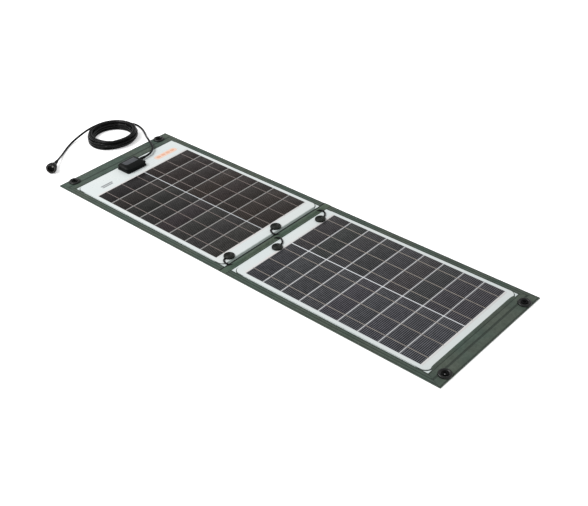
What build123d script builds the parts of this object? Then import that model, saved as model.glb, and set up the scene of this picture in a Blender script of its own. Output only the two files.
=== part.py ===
from build123d import *
import math
import os

# Folding solar mat, in millimetres. +X runs along the mat to the free end, +Y across it, +Z up.
# The origin is the middle of the mat, on the surface that it lies on.

# ---- mat -------------------------------------------------------------------------------------
MAT_LENGTH = 1228.0
MAT_WIDTH = 377.0
HINGE_X = 2.6  # middle of the spine: the wing with the junction box is a little longer
SPINE_WIDTH = 22.6  # leaves room for the junction box between the folded wings
FOLD_SLIT = 0.6
HEM_WIDTH = 19.2
BOARD_LAP = 6.0  # how far the backing board reaches under the border
BASE_TOP = 0.8
BOARD_TOP = 1.8
COVER_TOP = 2.6
MITRE_GAP = 0.1
MAT_HALF = MAT_WIDTH / 2
WINDOW_HALF = MAT_HALF - HEM_WIDTH

# ---- laminate stack: heights of the faces between its layers ---------------------------------
REAR_SHEET_TOP = 3.0
REAR_EVA_TOP = 3.2
CELL_TOP = 3.42
RIBBON_TOP = 3.57
MASK_TOP = 3.67
FRONT_EVA_TOP = 3.8
FILM_TOP = 4.0
LAMINATE_WIDTH = 336.0
LAMINATE_RADIUS = 16.0

# ---- cells -----------------------------------------------------------------------------------
CELL_LENGTH = 52.25  # a third of a 156.75 mm square cell
CELL_WIDTH = 156.75
CELL_GAP = 2.95
STRING_GAP = 2.5
STRING_Y = (CELL_WIDTH + STRING_GAP) / 2
BUSBAR_PITCH = 52.0
BUSBAR_WIDTH = 1.8
CROSS_RIBBON_WIDTH = 4.0
CROSS_RIBBON_OFFSET = 2.0  # from the end of the cells
LEAD_WIDTH = 5.0
RISER_THICKNESS = 0.5
MASK_MARGIN = 2.0
MASK_SETBACK = 2.0  # where a lead's mask stops short of its riser
STRING_OUTER = STRING_Y + BUSBAR_PITCH + BUSBAR_WIDTH / 2
STRING_INNER = STRING_Y - BUSBAR_PITCH - BUSBAR_WIDTH / 2

# ---- terminal caps and link wires ------------------------------------------------------------
CAP_RADIUS = 13.0
CAP_HEIGHT = 4.6
CAP_WALL = 1.2
CAP_EDGE_ROUND = 1.4
STUD_RADIUS = 2.0
STUD_HEAD_RADIUS = 4.0
STUD_HEAD_HEIGHT = 1.2
WIRE_RADIUS = 1.8
CHANNEL_WIDTH = 4.6
CHANNEL_TOP = 5.0
CHANNEL_CHAMFER = 1.0
SLEEVE_WALL = 1.0
SLEEVE_FLARE = 0.6
OPENING_REACH = 1.0  # beyond the sleeve's foot
OPENING_MARGIN = 4.0

# ---- eyelets ---------------------------------------------------------------------------------
EYELET_X = 598.0
EYELET_Y = 150.0
EYELET_RADIUS = 15.5
EYELET_THROAT = 3.8
EYELET_THROAT_TOP = 5.2
EYELET_BARREL = 8.2
EYELET_SHOULDER = 4.2
EYELET_TOP = 7.0
EYELET_CROWN = 12.2
WASHER_RADIUS = 12.0
FIT_GAP = 0.05

# ---- junction box ----------------------------------------------------------------------------
BOX_X = -535.5
BOX_Y = -2.5
BOX_LENGTH = 50.0  # along X
BOX_WIDTH = 66.0  # along Y
BOX_RADIUS = 6.0
PAD_THICKNESS = 0.8
PAD_INSET = 0.5
BOX_WALL = 2.0
BOX_FLOOR = 1.6
BOX_BASE_HEIGHT = 9.0
GASKET_HEIGHT = 0.8
GASKET_INSET = 0.4
LID_SKIRT = 1.4
LID_RISE = 3.4
LID_INSET = 8.0
LID_WALL = 1.6
RISER_Y = 14.0
SLOT_CLEARANCE = 0.5
BLOCK_LENGTH = 12.0
BLOCK_HALF_WIDTH = 19.5
BLOCK_HEIGHT = 5.0
CLAMP_WIDTH = 9.0
CLAMP_THICKNESS = 1.2
CLAMP_INSET = 1.5
SCREW_RADIUS = 2.4
SCREW_HEIGHT = 1.6
SCREW_SLOT = 0.9
DIODE_RADIUS = 1.7
DIODE_LENGTH = 8.0
DIODE_LEAD_RADIUS = 0.45
CORE_RADIUS = 1.0
CORE_SPREAD = 1.3
CORE_ENTRY_Z = 9.0
CORE_TRACK = 3.1  # from the block's side to the nearer core
CORE_PITCH = 2.9
CORE_STUB = 1.2
CORE_SWING = 4.2

# ---- lead and its strain relief --------------------------------------------------------------
CABLE_DIAMETER = 6.0
RELIEF_X = -543.0
RELIEF_Z = 9.8
RELIEF_NECK = 3.2
RELIEF_COLLAR = 2.0
RELIEF_ROOT = 4.1
RELIEF_TIP = 3.4
RELIEF_LENGTH = 22.0
ARC_SHARE = 0.45  # of the shorter run, taken up by each arc of a cord

# Route of the free cable, from the strain relief over the mat's edge and round behind the coil.
BOX_TAIL = [
    (-543.0, 52.5, 9.8),
    (-543.0, 65.0, 9.8),
    (-549.5, 83.0, 11.2),
    (-563.0, 98.0, 12.4),
    (-585.0, 110.0, 12.4),
    (-612.0, 122.5, 12.2),
    (-638.0, 137.5, 5.6),
    (-664.0, 153.5, 3.0),
    (-693.0, 166.0, 3.0),
    (-722.0, 170.0, 3.0),
    (-748.0, 161.0, 3.0),
    (-766.0, 141.0, 3.0),
    (-776.5, 118.0, 3.0),
    (-779.0, 97.0, 3.0),
    (-777.0, 76.0, 3.2),
]
# Route from the top of the coil down to the floor; the socket's boot gives its last two points.
SOCKET_TAIL = [
    (-774.5, 84.0, 23.2),
    (-776.5, 63.0, 22.8),
    (-779.5, 44.0, 20.0),
    (-782.0, 24.0, 14.5),
    (-783.0, 3.0, 8.4),
    (-779.5, -19.0, 4.2),
    (-770.0, -40.0, 3.0),
    (-757.0, -61.0, 3.0),
    (-743.0, -82.0, 3.4),
]
LAST_RUN = 16.0
COIL_CENTER = (-709.3, 75.0)
COIL_RADIUS = 62.3
COIL_HALF_WIDTH = 11.0
COIL_HALF_HEIGHT = 13.6

# ---- accessory socket at the end of the lead -------------------------------------------------
SOCKET_MOUTH = (-685.8, -160.4, 15.1)
SOCKET_HEADING = -55.0  # direction of the mouth, in degrees from +X
SOCKET_TILT = 5.0  # it lies on its rim, so the mouth points slightly up
SOCKET_LENGTH = 24.0
SOCKET_RIM_RADIUS = 14.5
SOCKET_RIM_LENGTH = 7.0
SOCKET_RIM_CHAMFER = 0.8
SOCKET_STEP = 1.5
SOCKET_BODY_RADIUS = 12.6
SOCKET_BACK_RADIUS = 9.4
SOCKET_SHOULDER = 9.0
SOCKET_BORE = 10.6
SOCKET_DEPTH = 17.0
LINER_THICKNESS = 0.5
LINER_SETBACK = 0.6
LINER_CHAMFER = 0.3
INSULATOR_THICKNESS = 3.7
CONTACT_RADIUS = 3.0
CONTACT_HEIGHT = 2.4
CONTACT_CHAMFER = 0.8
BOOT_ROOT = 8.0
BOOT_SHOULDER = 5.0
BOOT_TIP = 3.7
BOOT_LENGTH = 28.0

# Wire loops, from a cap to the sleeve. Left loops swing towards -Y and right loops towards +Y.
# Each point is (share of the way to the sleeve, distance along Y from the cap, height).
LEFT_LOOP = [
    (0.00, -11.0, 5.9),
    (0.00, -18.5, 5.9),
    (0.28, -25.0, 5.9),
    (0.66, -27.5, 6.0),
    (0.94, -22.5, 4.8),
    (1.00, -14.0, 2.9),
    (1.00, -6.5, 2.9),
]
RIGHT_LOOP = [
    (0.00, 11.0, 5.9),
    (0.03, 19.0, 5.9),
    (0.26, 28.0, 5.9),
    (0.58, 33.5, 6.0),
    (0.88, 31.0, 5.0),
    (1.00, 22.5, 2.9),
    (1.00, 14.5, 2.9),
]
WINGS = {
    "left": {
        "side": -1,
        "window_x": -565.5,
        "laminate_x": (-561.5, -14.5),
        "cells_x": -487.0,
        "cells": 8,
        "caps": [(-27.5, -135.0), (-27.5, 26.5)],
        "loop": LEFT_LOOP,
    },
    "right": {
        "side": 1,
        "window_x": 570.5,
        "laminate_x": (20.5, 567.5),
        "cells_x": 50.0,
        "cells": 9,
        "caps": [(36.0, -36.5), (36.0, 121.0)],
        "loop": RIGHT_LOOP,
    },
}
STANDING = (Align.CENTER, Align.CENTER, Align.MIN)


# ---- helpers ---------------------------------------------------------------------------------
def ordered(a, b):
    return (min(a, b), max(a, b))


def around(middle, width):
    return (middle - width / 2, middle + width / 2)


def block(x, y, z):
    """A box between two values along each axis."""
    size = [high - low for low, high in (x, y, z)]
    middle = [(high + low) / 2 for low, high in (x, y, z)]
    return Pos(*middle) * Box(*size)


def rounded_plate(x, y, z, radius):
    """A plate with rounded corners between two values along each axis."""
    outline = RectangleRounded(x[1] - x[0], y[1] - y[0], radius)
    return Pos(sum(x) / 2, sum(y) / 2, z[0]) * extrude(outline, amount=z[1] - z[0])


def post(x, y, z, radius):
    """An upright cylinder."""
    return Pos(x, y, z[0]) * Cylinder(radius, z[1] - z[0], align=STANDING)


def bar(start, end, radius):
    """A straight round bar from start to end."""
    way = Vector(end) - Vector(start)
    return extrude(Plane(origin=start, z_dir=way) * Circle(radius), amount=way.length)


def arc_radii(points):
    """The largest tangent arc that each corner's two runs leave room for."""
    radii = []
    for before, here, after in zip(points, points[1:], points[2:]):
        run_in = Vector(here) - Vector(before)
        run_out = Vector(after) - Vector(here)
        half_turn = math.radians(run_in.get_angle(run_out)) / 2
        radii.append(ARC_SHARE * min(run_in.length, run_out.length) / math.tan(half_turn))
    return radii


def rounded_path(points):
    return FilletPolyline(*points, radius=arc_radii(points))


def tube(points, radius):
    """A round cord along straight runs joined by tangent arcs."""
    path = rounded_path(points)
    return sweep(Plane(origin=points[0], z_dir=path % 0) * Circle(radius), path=path)


def cord(name, points):
    """A stretch of the lead, with its radii, length and volume printed."""
    solid = tube(points, CABLE_DIAMETER / 2)
    length = rounded_path(points).length
    expected = math.pi * CABLE_DIAMETER**2 / 4 * length
    print(name, "radii", [round(r) for r in arc_radii(points)], "length", round(length, 1))
    print(name, "volume", round(solid.volume), "section times length", round(expected))
    return solid


def save(name, shapes):
    """Writes one node, as one solid or a group of separate solids."""
    found = shapes if isinstance(shapes, list) else [shapes]
    shape = found[0] if len(found) == 1 else Compound(children=found)
    export_step(shape, f"parts/{name}.step")


# ---- fabric and board ------------------------------------------------------------------------
def outer_x(wing):
    return wing["side"] * MAT_LENGTH / 2


def edge_x(wing):
    """Where the wing's own fabric stops, just short of its fold line."""
    return HINGE_X + wing["side"] * (SPINE_WIDTH + FOLD_SLIT) / 2


def eyelet_points(wing):
    return [(wing["side"] * EYELET_X, y) for y in (-EYELET_Y, EYELET_Y)]


def base_fabric(wing):
    sheet = block(ordered(outer_x(wing), edge_x(wing)), (-MAT_HALF, MAT_HALF), (0, BASE_TOP))
    return sheet - [post(x, y, (0, BASE_TOP), WASHER_RADIUS) for x, y in eyelet_points(wing)]


def backing_board(wing):
    outer = wing["window_x"] + wing["side"] * BOARD_LAP
    half = WINDOW_HALF + BOARD_LAP
    return block(ordered(outer, edge_x(wing)), (-half, half), (BASE_TOP, BOARD_TOP))


def border_outlines(wing):
    """The end flap and the two side hems, mitred where they meet."""
    end, inner, edge = outer_x(wing), wing["window_x"], edge_x(wing)
    gap = wing["side"] * MITRE_GAP
    flap = [(end, -MAT_HALF), (end, MAT_HALF), (inner, WINDOW_HALF), (inner, -WINDOW_HALF)]
    outlines = [flap]
    for sign in (-1, 1):
        hem_start = (end - gap, sign * MAT_HALF)
        inner_start = (inner - gap, sign * WINDOW_HALF)
        inner_end = (edge, sign * WINDOW_HALF)
        outlines.append([hem_start, inner_start, inner_end, (edge, sign * MAT_HALF)])
    return outlines


def border_fabric(wing):
    """Three strips of fabric, with a rebate over the board and holes for the eyelets."""
    holes = [
        post(x, y, (BASE_TOP, COVER_TOP), EYELET_BARREL + FIT_GAP) for x, y in eyelet_points(wing)
    ]
    strips = []
    for outline in border_outlines(wing):
        face = make_face(Polyline(*outline, close=True))
        strip = Pos(0, 0, BASE_TOP) * extrude(face, amount=COVER_TOP - BASE_TOP, dir=(0, 0, 1))
        strips.append(strip - [backing_board(wing)] - holes)
    return strips


# ---- laminate --------------------------------------------------------------------------------
def laminate_layer(wing, bottom, top):
    y = around(0, LAMINATE_WIDTH)
    return rounded_plate(wing["laminate_x"], y, (bottom, top), LAMINATE_RADIUS)


def ribbon_ends(wing):
    """Where the busbars meet the cross ribbons, at the -X and the +X end of the array."""
    low = wing["cells_x"]
    high = low + wing["cells"] * (CELL_LENGTH + CELL_GAP) - CELL_GAP
    return (low - CROSS_RIBBON_OFFSET, high + CROSS_RIBBON_OFFSET)


def cells(wing):
    found = []
    for row in range(wing["cells"]):
        low = wing["cells_x"] + row * (CELL_LENGTH + CELL_GAP)
        for sign in (-1, 1):
            y = around(sign * STRING_Y, CELL_WIDTH)
            found.append(block((low, low + CELL_LENGTH), y, (REAR_EVA_TOP, CELL_TOP)))
    return found


def busbars(wing):
    """Three ribbons along each string, on top of its cells."""
    found = []
    for sign in (-1, 1):
        for step in (-1, 0, 1):
            y = around(sign * STRING_Y + step * BUSBAR_PITCH, BUSBAR_WIDTH)
            found.append(block(ribbon_ends(wing), y, (CELL_TOP, RIBBON_TOP)))
    return found


def cross_ribbon(start, direction, y):
    """A ribbon across the busbars, from start outwards."""
    return block(ordered(start, start + direction * CROSS_RIBBON_WIDTH), y, (CELL_TOP, RIBBON_TOP))


def string_ribbon(start, direction, sign, lead_y, lead_x):
    """One string's cross ribbon, with a lead along X to whatever it feeds."""
    lead = around(lead_y, LEAD_WIDTH)
    reach = [sign * STRING_OUTER, sign * STRING_INNER, *lead]
    ribbon = cross_ribbon(start, direction, (min(reach), max(reach)))
    return ribbon + block(ordered(start, lead_x), lead, (CELL_TOP, RIBBON_TOP))


def cap_ribbons(wing):
    """Beside the spine: one ribbon for each string, with a lead under its terminal cap."""
    direction = -wing["side"]
    start = max(ribbon_ends(wing)) if direction > 0 else min(ribbon_ends(wing))
    found = []
    for sign, (cap_x, cap_y) in zip((-1, 1), wing["caps"]):
        end = cap_x + direction * LEAD_WIDTH / 2
        found.append(string_ribbon(start, direction, sign, cap_y, end))
    return found


def box_ribbons(wing):
    """At the junction box: one ribbon for each string, with a riser into the box."""
    riser_x = (BOX_X, BOX_X + RISER_THICKNESS)
    found = []
    for sign in (-1, 1):
        ribbon = string_ribbon(min(ribbon_ends(wing)), -1, sign, sign * RISER_Y, BOX_X)
        riser = block(riser_x, around(sign * RISER_Y, LEAD_WIDTH), (CELL_TOP, block_top()))
        found.append(ribbon + riser)
    return found


def cross_ribbons(name, wing):
    """Every cross ribbon of a wing; the free end has one that joins its two strings."""
    if name == "left":
        return cap_ribbons(wing) + box_ribbons(wing)
    joining = cross_ribbon(max(ribbon_ends(wing)), 1, (-STRING_OUTER, STRING_OUTER))
    return cap_ribbons(wing) + [joining]


def mask_strips(name, wing):
    """Opaque strips over the cross ribbons, and over the leads to the junction box."""
    found = []
    half = CELL_WIDTH + STRING_GAP / 2
    for start, direction in zip(ribbon_ends(wing), (-1, 1)):
        x = ordered(start, start + direction * (CROSS_RIBBON_WIDTH + MASK_MARGIN))
        found.append(block(x, (-half, half), (RIBBON_TOP, MASK_TOP)))
    if name == "left":
        end = min(ribbon_ends(wing)) - CROSS_RIBBON_WIDTH - MASK_MARGIN
        for sign in (-1, 1):
            y = around(sign * RISER_Y, LEAD_WIDTH + 2 * MASK_MARGIN)
            found.append(block((BOX_X + MASK_SETBACK, end), y, (RIBBON_TOP, MASK_TOP)))
    return found


def riser_slots(bottom, top):
    """Openings for the two risers that climb into the junction box."""
    x = (BOX_X - SLOT_CLEARANCE, BOX_X + RISER_THICKNESS + SLOT_CLEARANCE)
    width = LEAD_WIDTH + 2 * SLOT_CLEARANCE
    return [block(x, around(sign * RISER_Y, width), (bottom, top)) for sign in (-1, 1)]


def lead_openings(name, wing, bottom, top):
    """The holes that studs and risers need through a layer."""
    radius = STUD_RADIUS + SLOT_CLEARANCE
    found = [post(*cap, (bottom, top), radius) for cap in wing["caps"]]
    return found + riser_slots(bottom, top) if name == "left" else found


def front_encapsulant(name, wing, embedded):
    layer = laminate_layer(wing, REAR_EVA_TOP, FRONT_EVA_TOP)
    return layer - embedded - lead_openings(name, wing, RIBBON_TOP, FRONT_EVA_TOP)


def front_film(name, wing):
    layer = laminate_layer(wing, FRONT_EVA_TOP, FILM_TOP)
    return layer - lead_openings(name, wing, FRONT_EVA_TOP, FILM_TOP)


# ---- terminal caps, studs and eyelets --------------------------------------------------------
def loop_points(wing, cap):
    way = HINGE_X - cap[0]
    return [(cap[0] + share * way, cap[1] + along, z) for share, along, z in wing["loop"]]


def terminal_cap(wing, cap):
    """A low round cap, hollow underneath, with a hole in its rim for the wire."""
    body = Cylinder(CAP_RADIUS, CAP_HEIGHT, align=STANDING)
    body = fillet(body.edges().sort_by(Axis.Z)[-1], CAP_EDGE_ROUND)
    hollow = Cylinder(CAP_RADIUS - CAP_WALL, CAP_HEIGHT - CAP_WALL, align=STANDING)
    wire_start = loop_points(wing, cap)[:2]
    return Pos(*cap, FILM_TOP) * (body - hollow) - bar(*wire_start, WIRE_RADIUS + FIT_GAP)


def terminal_stud(cap):
    """A stud from the lead ribbon up through the film, with a solder disc on top."""
    top = FILM_TOP + STUD_HEAD_HEIGHT
    return post(*cap, (RIBBON_TOP, FILM_TOP), STUD_RADIUS) + post(
        *cap, (FILM_TOP, top), STUD_HEAD_RADIUS
    )


def eyelet(centre):
    """A moulded ring: a barrel through the fabric and a dished flange on top."""
    shoulder = (EYELET_RADIUS, EYELET_SHOULDER)
    crown = (EYELET_CROWN, EYELET_TOP)
    throat = (EYELET_THROAT, EYELET_THROAT_TOP)
    outline = [
        Polyline((EYELET_THROAT, 0), (EYELET_BARREL, 0), (EYELET_BARREL, COVER_TOP)),
        Polyline((EYELET_BARREL, COVER_TOP), (EYELET_RADIUS, COVER_TOP), shoulder),
        ThreePointArc(shoulder, (EYELET_RADIUS - 0.9, EYELET_TOP - 0.9), crown),
        ThreePointArc(crown, (EYELET_THROAT + 3.0, EYELET_TOP - 1.9), throat),
        Line(throat, (EYELET_THROAT, 0)),
    ]
    ring = revolve(Plane.XZ * make_face(Curve() + outline), axis=Axis.Z)
    return Pos(*centre, 0) * ring


def eyelet_washer(centre):
    z = (0, BASE_TOP)
    return post(*centre, z, WASHER_RADIUS - FIT_GAP) - post(*centre, z, EYELET_BARREL + FIT_GAP)


# ---- spine and link wires --------------------------------------------------------------------
def wire_loop(wing, index):
    return tube(loop_points(wing, wing["caps"][index]), WIRE_RADIUS)


def link_wire(index):
    """The straight stretch of a link wire in the sleeve, between the ends of its two loops."""
    ends = [loop_points(wing, wing["caps"][index])[-1] for wing in WINGS.values()]
    return bar(*ends, WIRE_RADIUS)


def spine_range():
    return around(HINGE_X, SPINE_WIDTH - FOLD_SLIT)


def spine_base_fabric():
    return block(spine_range(), (-MAT_HALF, MAT_HALF), (0, BASE_TOP))


def sleeve_openings():
    """Slots where each wire loop passes through the side of the sleeve into its channel."""
    found = []
    for wing in WINGS.values():
        reach = CHANNEL_WIDTH / 2 + SLEEVE_WALL + OPENING_REACH
        outside = HINGE_X + wing["side"] * reach
        x = ordered(outside, HINGE_X - wing["side"] * CHANNEL_WIDTH / 2)
        for cap in wing["caps"]:
            along = [point[1] for point in loop_points(wing, cap)[3:6]]
            y = (min(along) - OPENING_MARGIN, max(along) + OPENING_MARGIN)
            found.append(block(x, y, (BASE_TOP, CHANNEL_TOP + 2 * SLEEVE_WALL)))
    return found


def sleeve_side(sign):
    """The outer outline on one side of the sleeve, from its crown down to the flange."""
    foot = CHANNEL_WIDTH / 2 + SLEEVE_WALL
    crown = CHANNEL_TOP + SLEEVE_WALL
    return [
        (HINGE_X + sign * (foot - CHANNEL_CHAMFER - SLEEVE_FLARE), crown),
        (HINGE_X + sign * (foot + SLEEVE_FLARE - CHANNEL_CHAMFER), CHANNEL_TOP),
        (HINGE_X + sign * (foot + SLEEVE_FLARE), COVER_TOP),
    ]


def spine_cover():
    """Two flat flanges with a raised sleeve between them, open below on to the base fabric."""
    low, high = spine_range()
    left, right = around(HINGE_X, CHANNEL_WIDTH)
    shoulder = CHANNEL_TOP - CHANNEL_CHAMFER
    channel = [
        (left, BASE_TOP),
        (left, shoulder),
        (left + CHANNEL_CHAMFER, CHANNEL_TOP),
        (right - CHANNEL_CHAMFER, CHANNEL_TOP),
        (right, shoulder),
        (right, BASE_TOP),
    ]
    outside = [(high, BASE_TOP), (high, COVER_TOP), *reversed(sleeve_side(1))]
    outside += [*sleeve_side(-1), (low, COVER_TOP), (low, BASE_TOP)]
    section = Plane.XZ * make_face(Polyline(*channel, *outside, close=True))
    cover = Pos(0, MAT_HALF, 0) * extrude(section, amount=MAT_WIDTH, dir=(0, -1, 0))
    return cover - sleeve_openings()


# ---- junction box ----------------------------------------------------------------------------
def box_bottom():
    return FILM_TOP + PAD_THICKNESS


def floor_top():
    return box_bottom() + BOX_FLOOR


def block_top():
    return floor_top() + BLOCK_HEIGHT


def box_seam():
    return box_bottom() + BOX_BASE_HEIGHT


def box_section(inset):
    """The box's plan, drawn in from its outline, with its corners kept round."""
    radius = BOX_RADIUS - min(inset, BOX_RADIUS / 2)
    outline = RectangleRounded(BOX_LENGTH - 2 * inset, BOX_WIDTH - 2 * inset, radius)
    return Pos(BOX_X, BOX_Y) * outline


def box_outline(inset, z):
    """The box's plan as a plate between two heights."""
    return Pos(0, 0, z[0]) * extrude(box_section(inset), amount=z[1] - z[0])


def adhesive_pad():
    z = (FILM_TOP, box_bottom())
    return box_outline(PAD_INSET, z) - riser_slots(*z)


def box_base():
    """An open tray with slots in its floor and a hole for the strain relief."""
    wall_y = BOX_Y + BOX_WIDTH / 2
    inside = box_outline(BOX_WALL, (floor_top(), box_seam()))
    inner_end = (RELIEF_X, wall_y - 2 * BOX_WALL, RELIEF_Z)
    hole = bar(inner_end, (RELIEF_X, wall_y, RELIEF_Z), RELIEF_NECK + FIT_GAP)
    tray = box_outline(0, (box_bottom(), box_seam())) - inside
    return tray - riser_slots(box_bottom(), floor_top()) - hole


def box_gasket():
    z = (box_seam(), box_seam() + GASKET_HEIGHT)
    return box_outline(GASKET_INSET, z) - box_outline(BOX_WALL - GASKET_INSET, z)


def lid_form(low, high, bottom, shoulder, top):
    """An upright skirt with sloping shoulders up to a flat top."""
    sections = [Pos(0, 0, shoulder) * box_section(low), Pos(0, 0, top) * box_section(high)]
    return box_outline(low, (bottom, shoulder)) + loft(sections, ruled=True)


def box_lid():
    bottom = box_seam() + GASKET_HEIGHT
    shoulder = bottom + LID_SKIRT
    top = shoulder + LID_RISE
    hollow_high = BOX_WALL + LID_INSET / 2
    hollow = lid_form(BOX_WALL, hollow_high, bottom, bottom + LID_WALL / 2, top - LID_WALL)
    return lid_form(0, LID_INSET, bottom, shoulder, top) - hollow


def block_left():
    return BOX_X - BLOCK_LENGTH - FIT_GAP


def terminal_block():
    y = (-BLOCK_HALF_WIDTH, BLOCK_HALF_WIDTH)
    return block((block_left(), BOX_X - FIT_GAP), y, (floor_top(), block_top()))


def clamp(y):
    """A brass plate under the riser's end, with a slotted screw."""
    plate_top = block_top() + CLAMP_THICKNESS
    screw_top = plate_top + SCREW_HEIGHT
    x = (block_left() + CLAMP_INSET, BOX_X + RISER_THICKNESS)
    screw_x = sum(x) / 2
    slot_z = (screw_top - SCREW_SLOT, screw_top)
    slot = block(around(screw_x, 2 * SCREW_RADIUS), around(y, SCREW_SLOT), slot_z)
    screw = post(screw_x, y, (plate_top, screw_top), SCREW_RADIUS) - slot
    return block(x, around(y, CLAMP_WIDTH), (block_top(), plate_top)) + screw


def blocking_diode():
    """A diode lying on the block, with straight leads towards the two clamps."""
    x = block_left() + BLOCK_LENGTH / 2
    z = block_top() + DIODE_RADIUS
    half = DIODE_LENGTH / 2
    reach = RISER_Y - CLAMP_WIDTH / 2
    lead = bar((x, -reach, z), (x, reach, z), DIODE_LEAD_RADIUS)
    return bar((x, -half, z), (x, half, z), DIODE_RADIUS) + lead


def cable_cores():
    """The lead's two cores, from the strain relief round to the terminal block's side."""
    start_y = BOX_Y + BOX_WIDTH / 2 - BOX_WALL - RELIEF_COLLAR
    found = []
    for sign, track in ((1, CORE_TRACK), (-1, CORE_TRACK + CORE_PITCH)):
        start_z = RELIEF_Z - sign * CORE_SPREAD
        x = block_left() - track
        route = [
            (RELIEF_X, start_y, start_z),
            (RELIEF_X, start_y - CORE_STUB, start_z),
            (x, start_y - CORE_SWING, start_z),
            (x, sign * RISER_Y, CORE_ENTRY_Z),
            (block_left(), sign * RISER_Y, CORE_ENTRY_Z),
        ]
        found.append(tube(route, CORE_RADIUS))
    return found


def cable_relief():
    """A neck through the box wall and a tapered sleeve outside it."""
    wall_y = BOX_Y + BOX_WIDTH / 2
    inner_end = (RELIEF_X, wall_y - BOX_WALL - RELIEF_COLLAR, RELIEF_Z)
    neck = bar(inner_end, (RELIEF_X, wall_y, RELIEF_Z), RELIEF_NECK)
    seat = Plane(origin=(RELIEF_X, wall_y, RELIEF_Z), z_dir=(0, 1, 0))
    return neck + seat * Cone(RELIEF_ROOT, RELIEF_TIP, RELIEF_LENGTH, align=STANDING)


# ---- lead and socket -------------------------------------------------------------------------
def socket_plane():
    """Origin at the middle of the mouth, with Z pointing out of it."""
    heading, tilt = math.radians(SOCKET_HEADING), math.radians(SOCKET_TILT)
    flat = math.cos(tilt)
    out = (math.cos(heading) * flat, math.sin(heading) * flat, math.sin(tilt))
    return Plane(origin=SOCKET_MOUTH, z_dir=out)


def turned(outline):
    """A solid of revolution about the socket's axis, from (radius, height) points."""
    face = Plane.XZ * make_face(Polyline(*outline, close=True))
    return socket_plane() * revolve(face, axis=Axis.Z)


def socket_shell():
    """A round shell with a thick rim, open at the mouth and narrowing to its back."""
    inner = SOCKET_BORE + LINER_THICKNESS
    outline = [
        (inner, 0),
        (SOCKET_RIM_RADIUS - SOCKET_RIM_CHAMFER, 0),
        (SOCKET_RIM_RADIUS, -SOCKET_RIM_CHAMFER),
        (SOCKET_RIM_RADIUS, -SOCKET_RIM_LENGTH),
        (SOCKET_BODY_RADIUS, -SOCKET_RIM_LENGTH - SOCKET_STEP),
        (SOCKET_BODY_RADIUS, SOCKET_SHOULDER - SOCKET_LENGTH),
        (SOCKET_BACK_RADIUS, -SOCKET_LENGTH),
        (0, -SOCKET_LENGTH),
        (0, -SOCKET_DEPTH),
        (inner, -SOCKET_DEPTH),
    ]
    return turned(outline)


def insulator_top():
    return INSULATOR_THICKNESS - SOCKET_DEPTH


def socket_liner():
    """The metal sleeve that is the outer contact, chamfered where it stands on the insulator."""
    outer = SOCKET_BORE + LINER_THICKNESS - FIT_GAP
    low, high = insulator_top(), -LINER_SETBACK
    foot = SOCKET_BORE + LINER_CHAMFER
    return turned(
        [(foot, low), (outer, low), (outer, high), (SOCKET_BORE, high), (SOCKET_BORE, low + LINER_CHAMFER)]
    )


def socket_insulator():
    """A disc at the bottom of the socket, with a pocket for the centre contact."""
    radius = SOCKET_BORE + LINER_THICKNESS - FIT_GAP
    pocket = CONTACT_RADIUS + FIT_GAP
    top = insulator_top()
    floor = top - CONTACT_HEIGHT
    return turned(
        [
            (0, -SOCKET_DEPTH),
            (radius, -SOCKET_DEPTH),
            (radius, top),
            (pocket, top),
            (pocket, floor),
            (0, floor),
        ]
    )


def socket_contact():
    """The centre contact, flush with the insulator."""
    top = insulator_top()
    base = top - CONTACT_HEIGHT
    return turned(
        [
            (0, base),
            (CONTACT_RADIUS, base),
            (CONTACT_RADIUS, top - CONTACT_CHAMFER),
            (CONTACT_RADIUS - CONTACT_CHAMFER, top),
            (0, top),
        ]
    )


def socket_boot():
    """The tapered sleeve behind the socket."""
    back, tip = -SOCKET_LENGTH, -SOCKET_LENGTH - BOOT_LENGTH
    return turned(
        [(0, back), (BOOT_ROOT, back), (BOOT_SHOULDER, (back + tip) / 2), (BOOT_TIP, tip), (0, tip)]
    )


def socket_route():
    """The lead's last stretch, which ends on the socket's axis at the tip of its boot."""
    plane = socket_plane()
    tip = plane.origin - plane.z_dir * (SOCKET_LENGTH + BOOT_LENGTH)
    return SOCKET_TAIL + [tuple(tip - plane.z_dir * LAST_RUN), tuple(tip)]


def coil():
    """The whole bundle of turns as one ring."""
    middle = Pos(COIL_RADIUS, COIL_HALF_HEIGHT)
    section = Plane.XZ * (middle * Ellipse(COIL_HALF_WIDTH, COIL_HALF_HEIGHT))
    return Pos(*COIL_CENTER, 0) * revolve(section, axis=Axis.Z)


# ---- all the nodes ---------------------------------------------------------------------------
def save_wing(name, wing):
    bars, ribbons, masks = busbars(wing), cross_ribbons(name, wing), mask_strips(name, wing)
    embedded = cells(wing) + bars + ribbons + masks
    save(f"{name}_base_fabric", base_fabric(wing))
    save(f"{name}_backing_board", backing_board(wing))
    save(f"{name}_border_fabric", border_fabric(wing))
    save(f"{name}_rear_sheet", laminate_layer(wing, BOARD_TOP, REAR_SHEET_TOP))
    save(f"{name}_rear_encapsulant", laminate_layer(wing, REAR_SHEET_TOP, REAR_EVA_TOP))
    save(f"{name}_cells", cells(wing))
    save(f"{name}_busbars", bars)
    save(f"{name}_cross_ribbons", ribbons)
    save(f"{name}_mask_strips", masks)
    save(f"{name}_front_encapsulant", front_encapsulant(name, wing, embedded))
    save(f"{name}_front_film", front_film(name, wing))
    save(f"{name}_terminal_caps", [terminal_cap(wing, cap) for cap in wing["caps"]])
    save(f"{name}_terminal_studs", [terminal_stud(cap) for cap in wing["caps"]])
    save(f"{name}_eyelets", [eyelet(centre) for centre in eyelet_points(wing)])
    save(f"{name}_eyelet_washers", [eyelet_washer(centre) for centre in eyelet_points(wing)])
    save(f"near_wire_loop_{name}", wire_loop(wing, 0))
    save(f"far_wire_loop_{name}", wire_loop(wing, 1))


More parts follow.
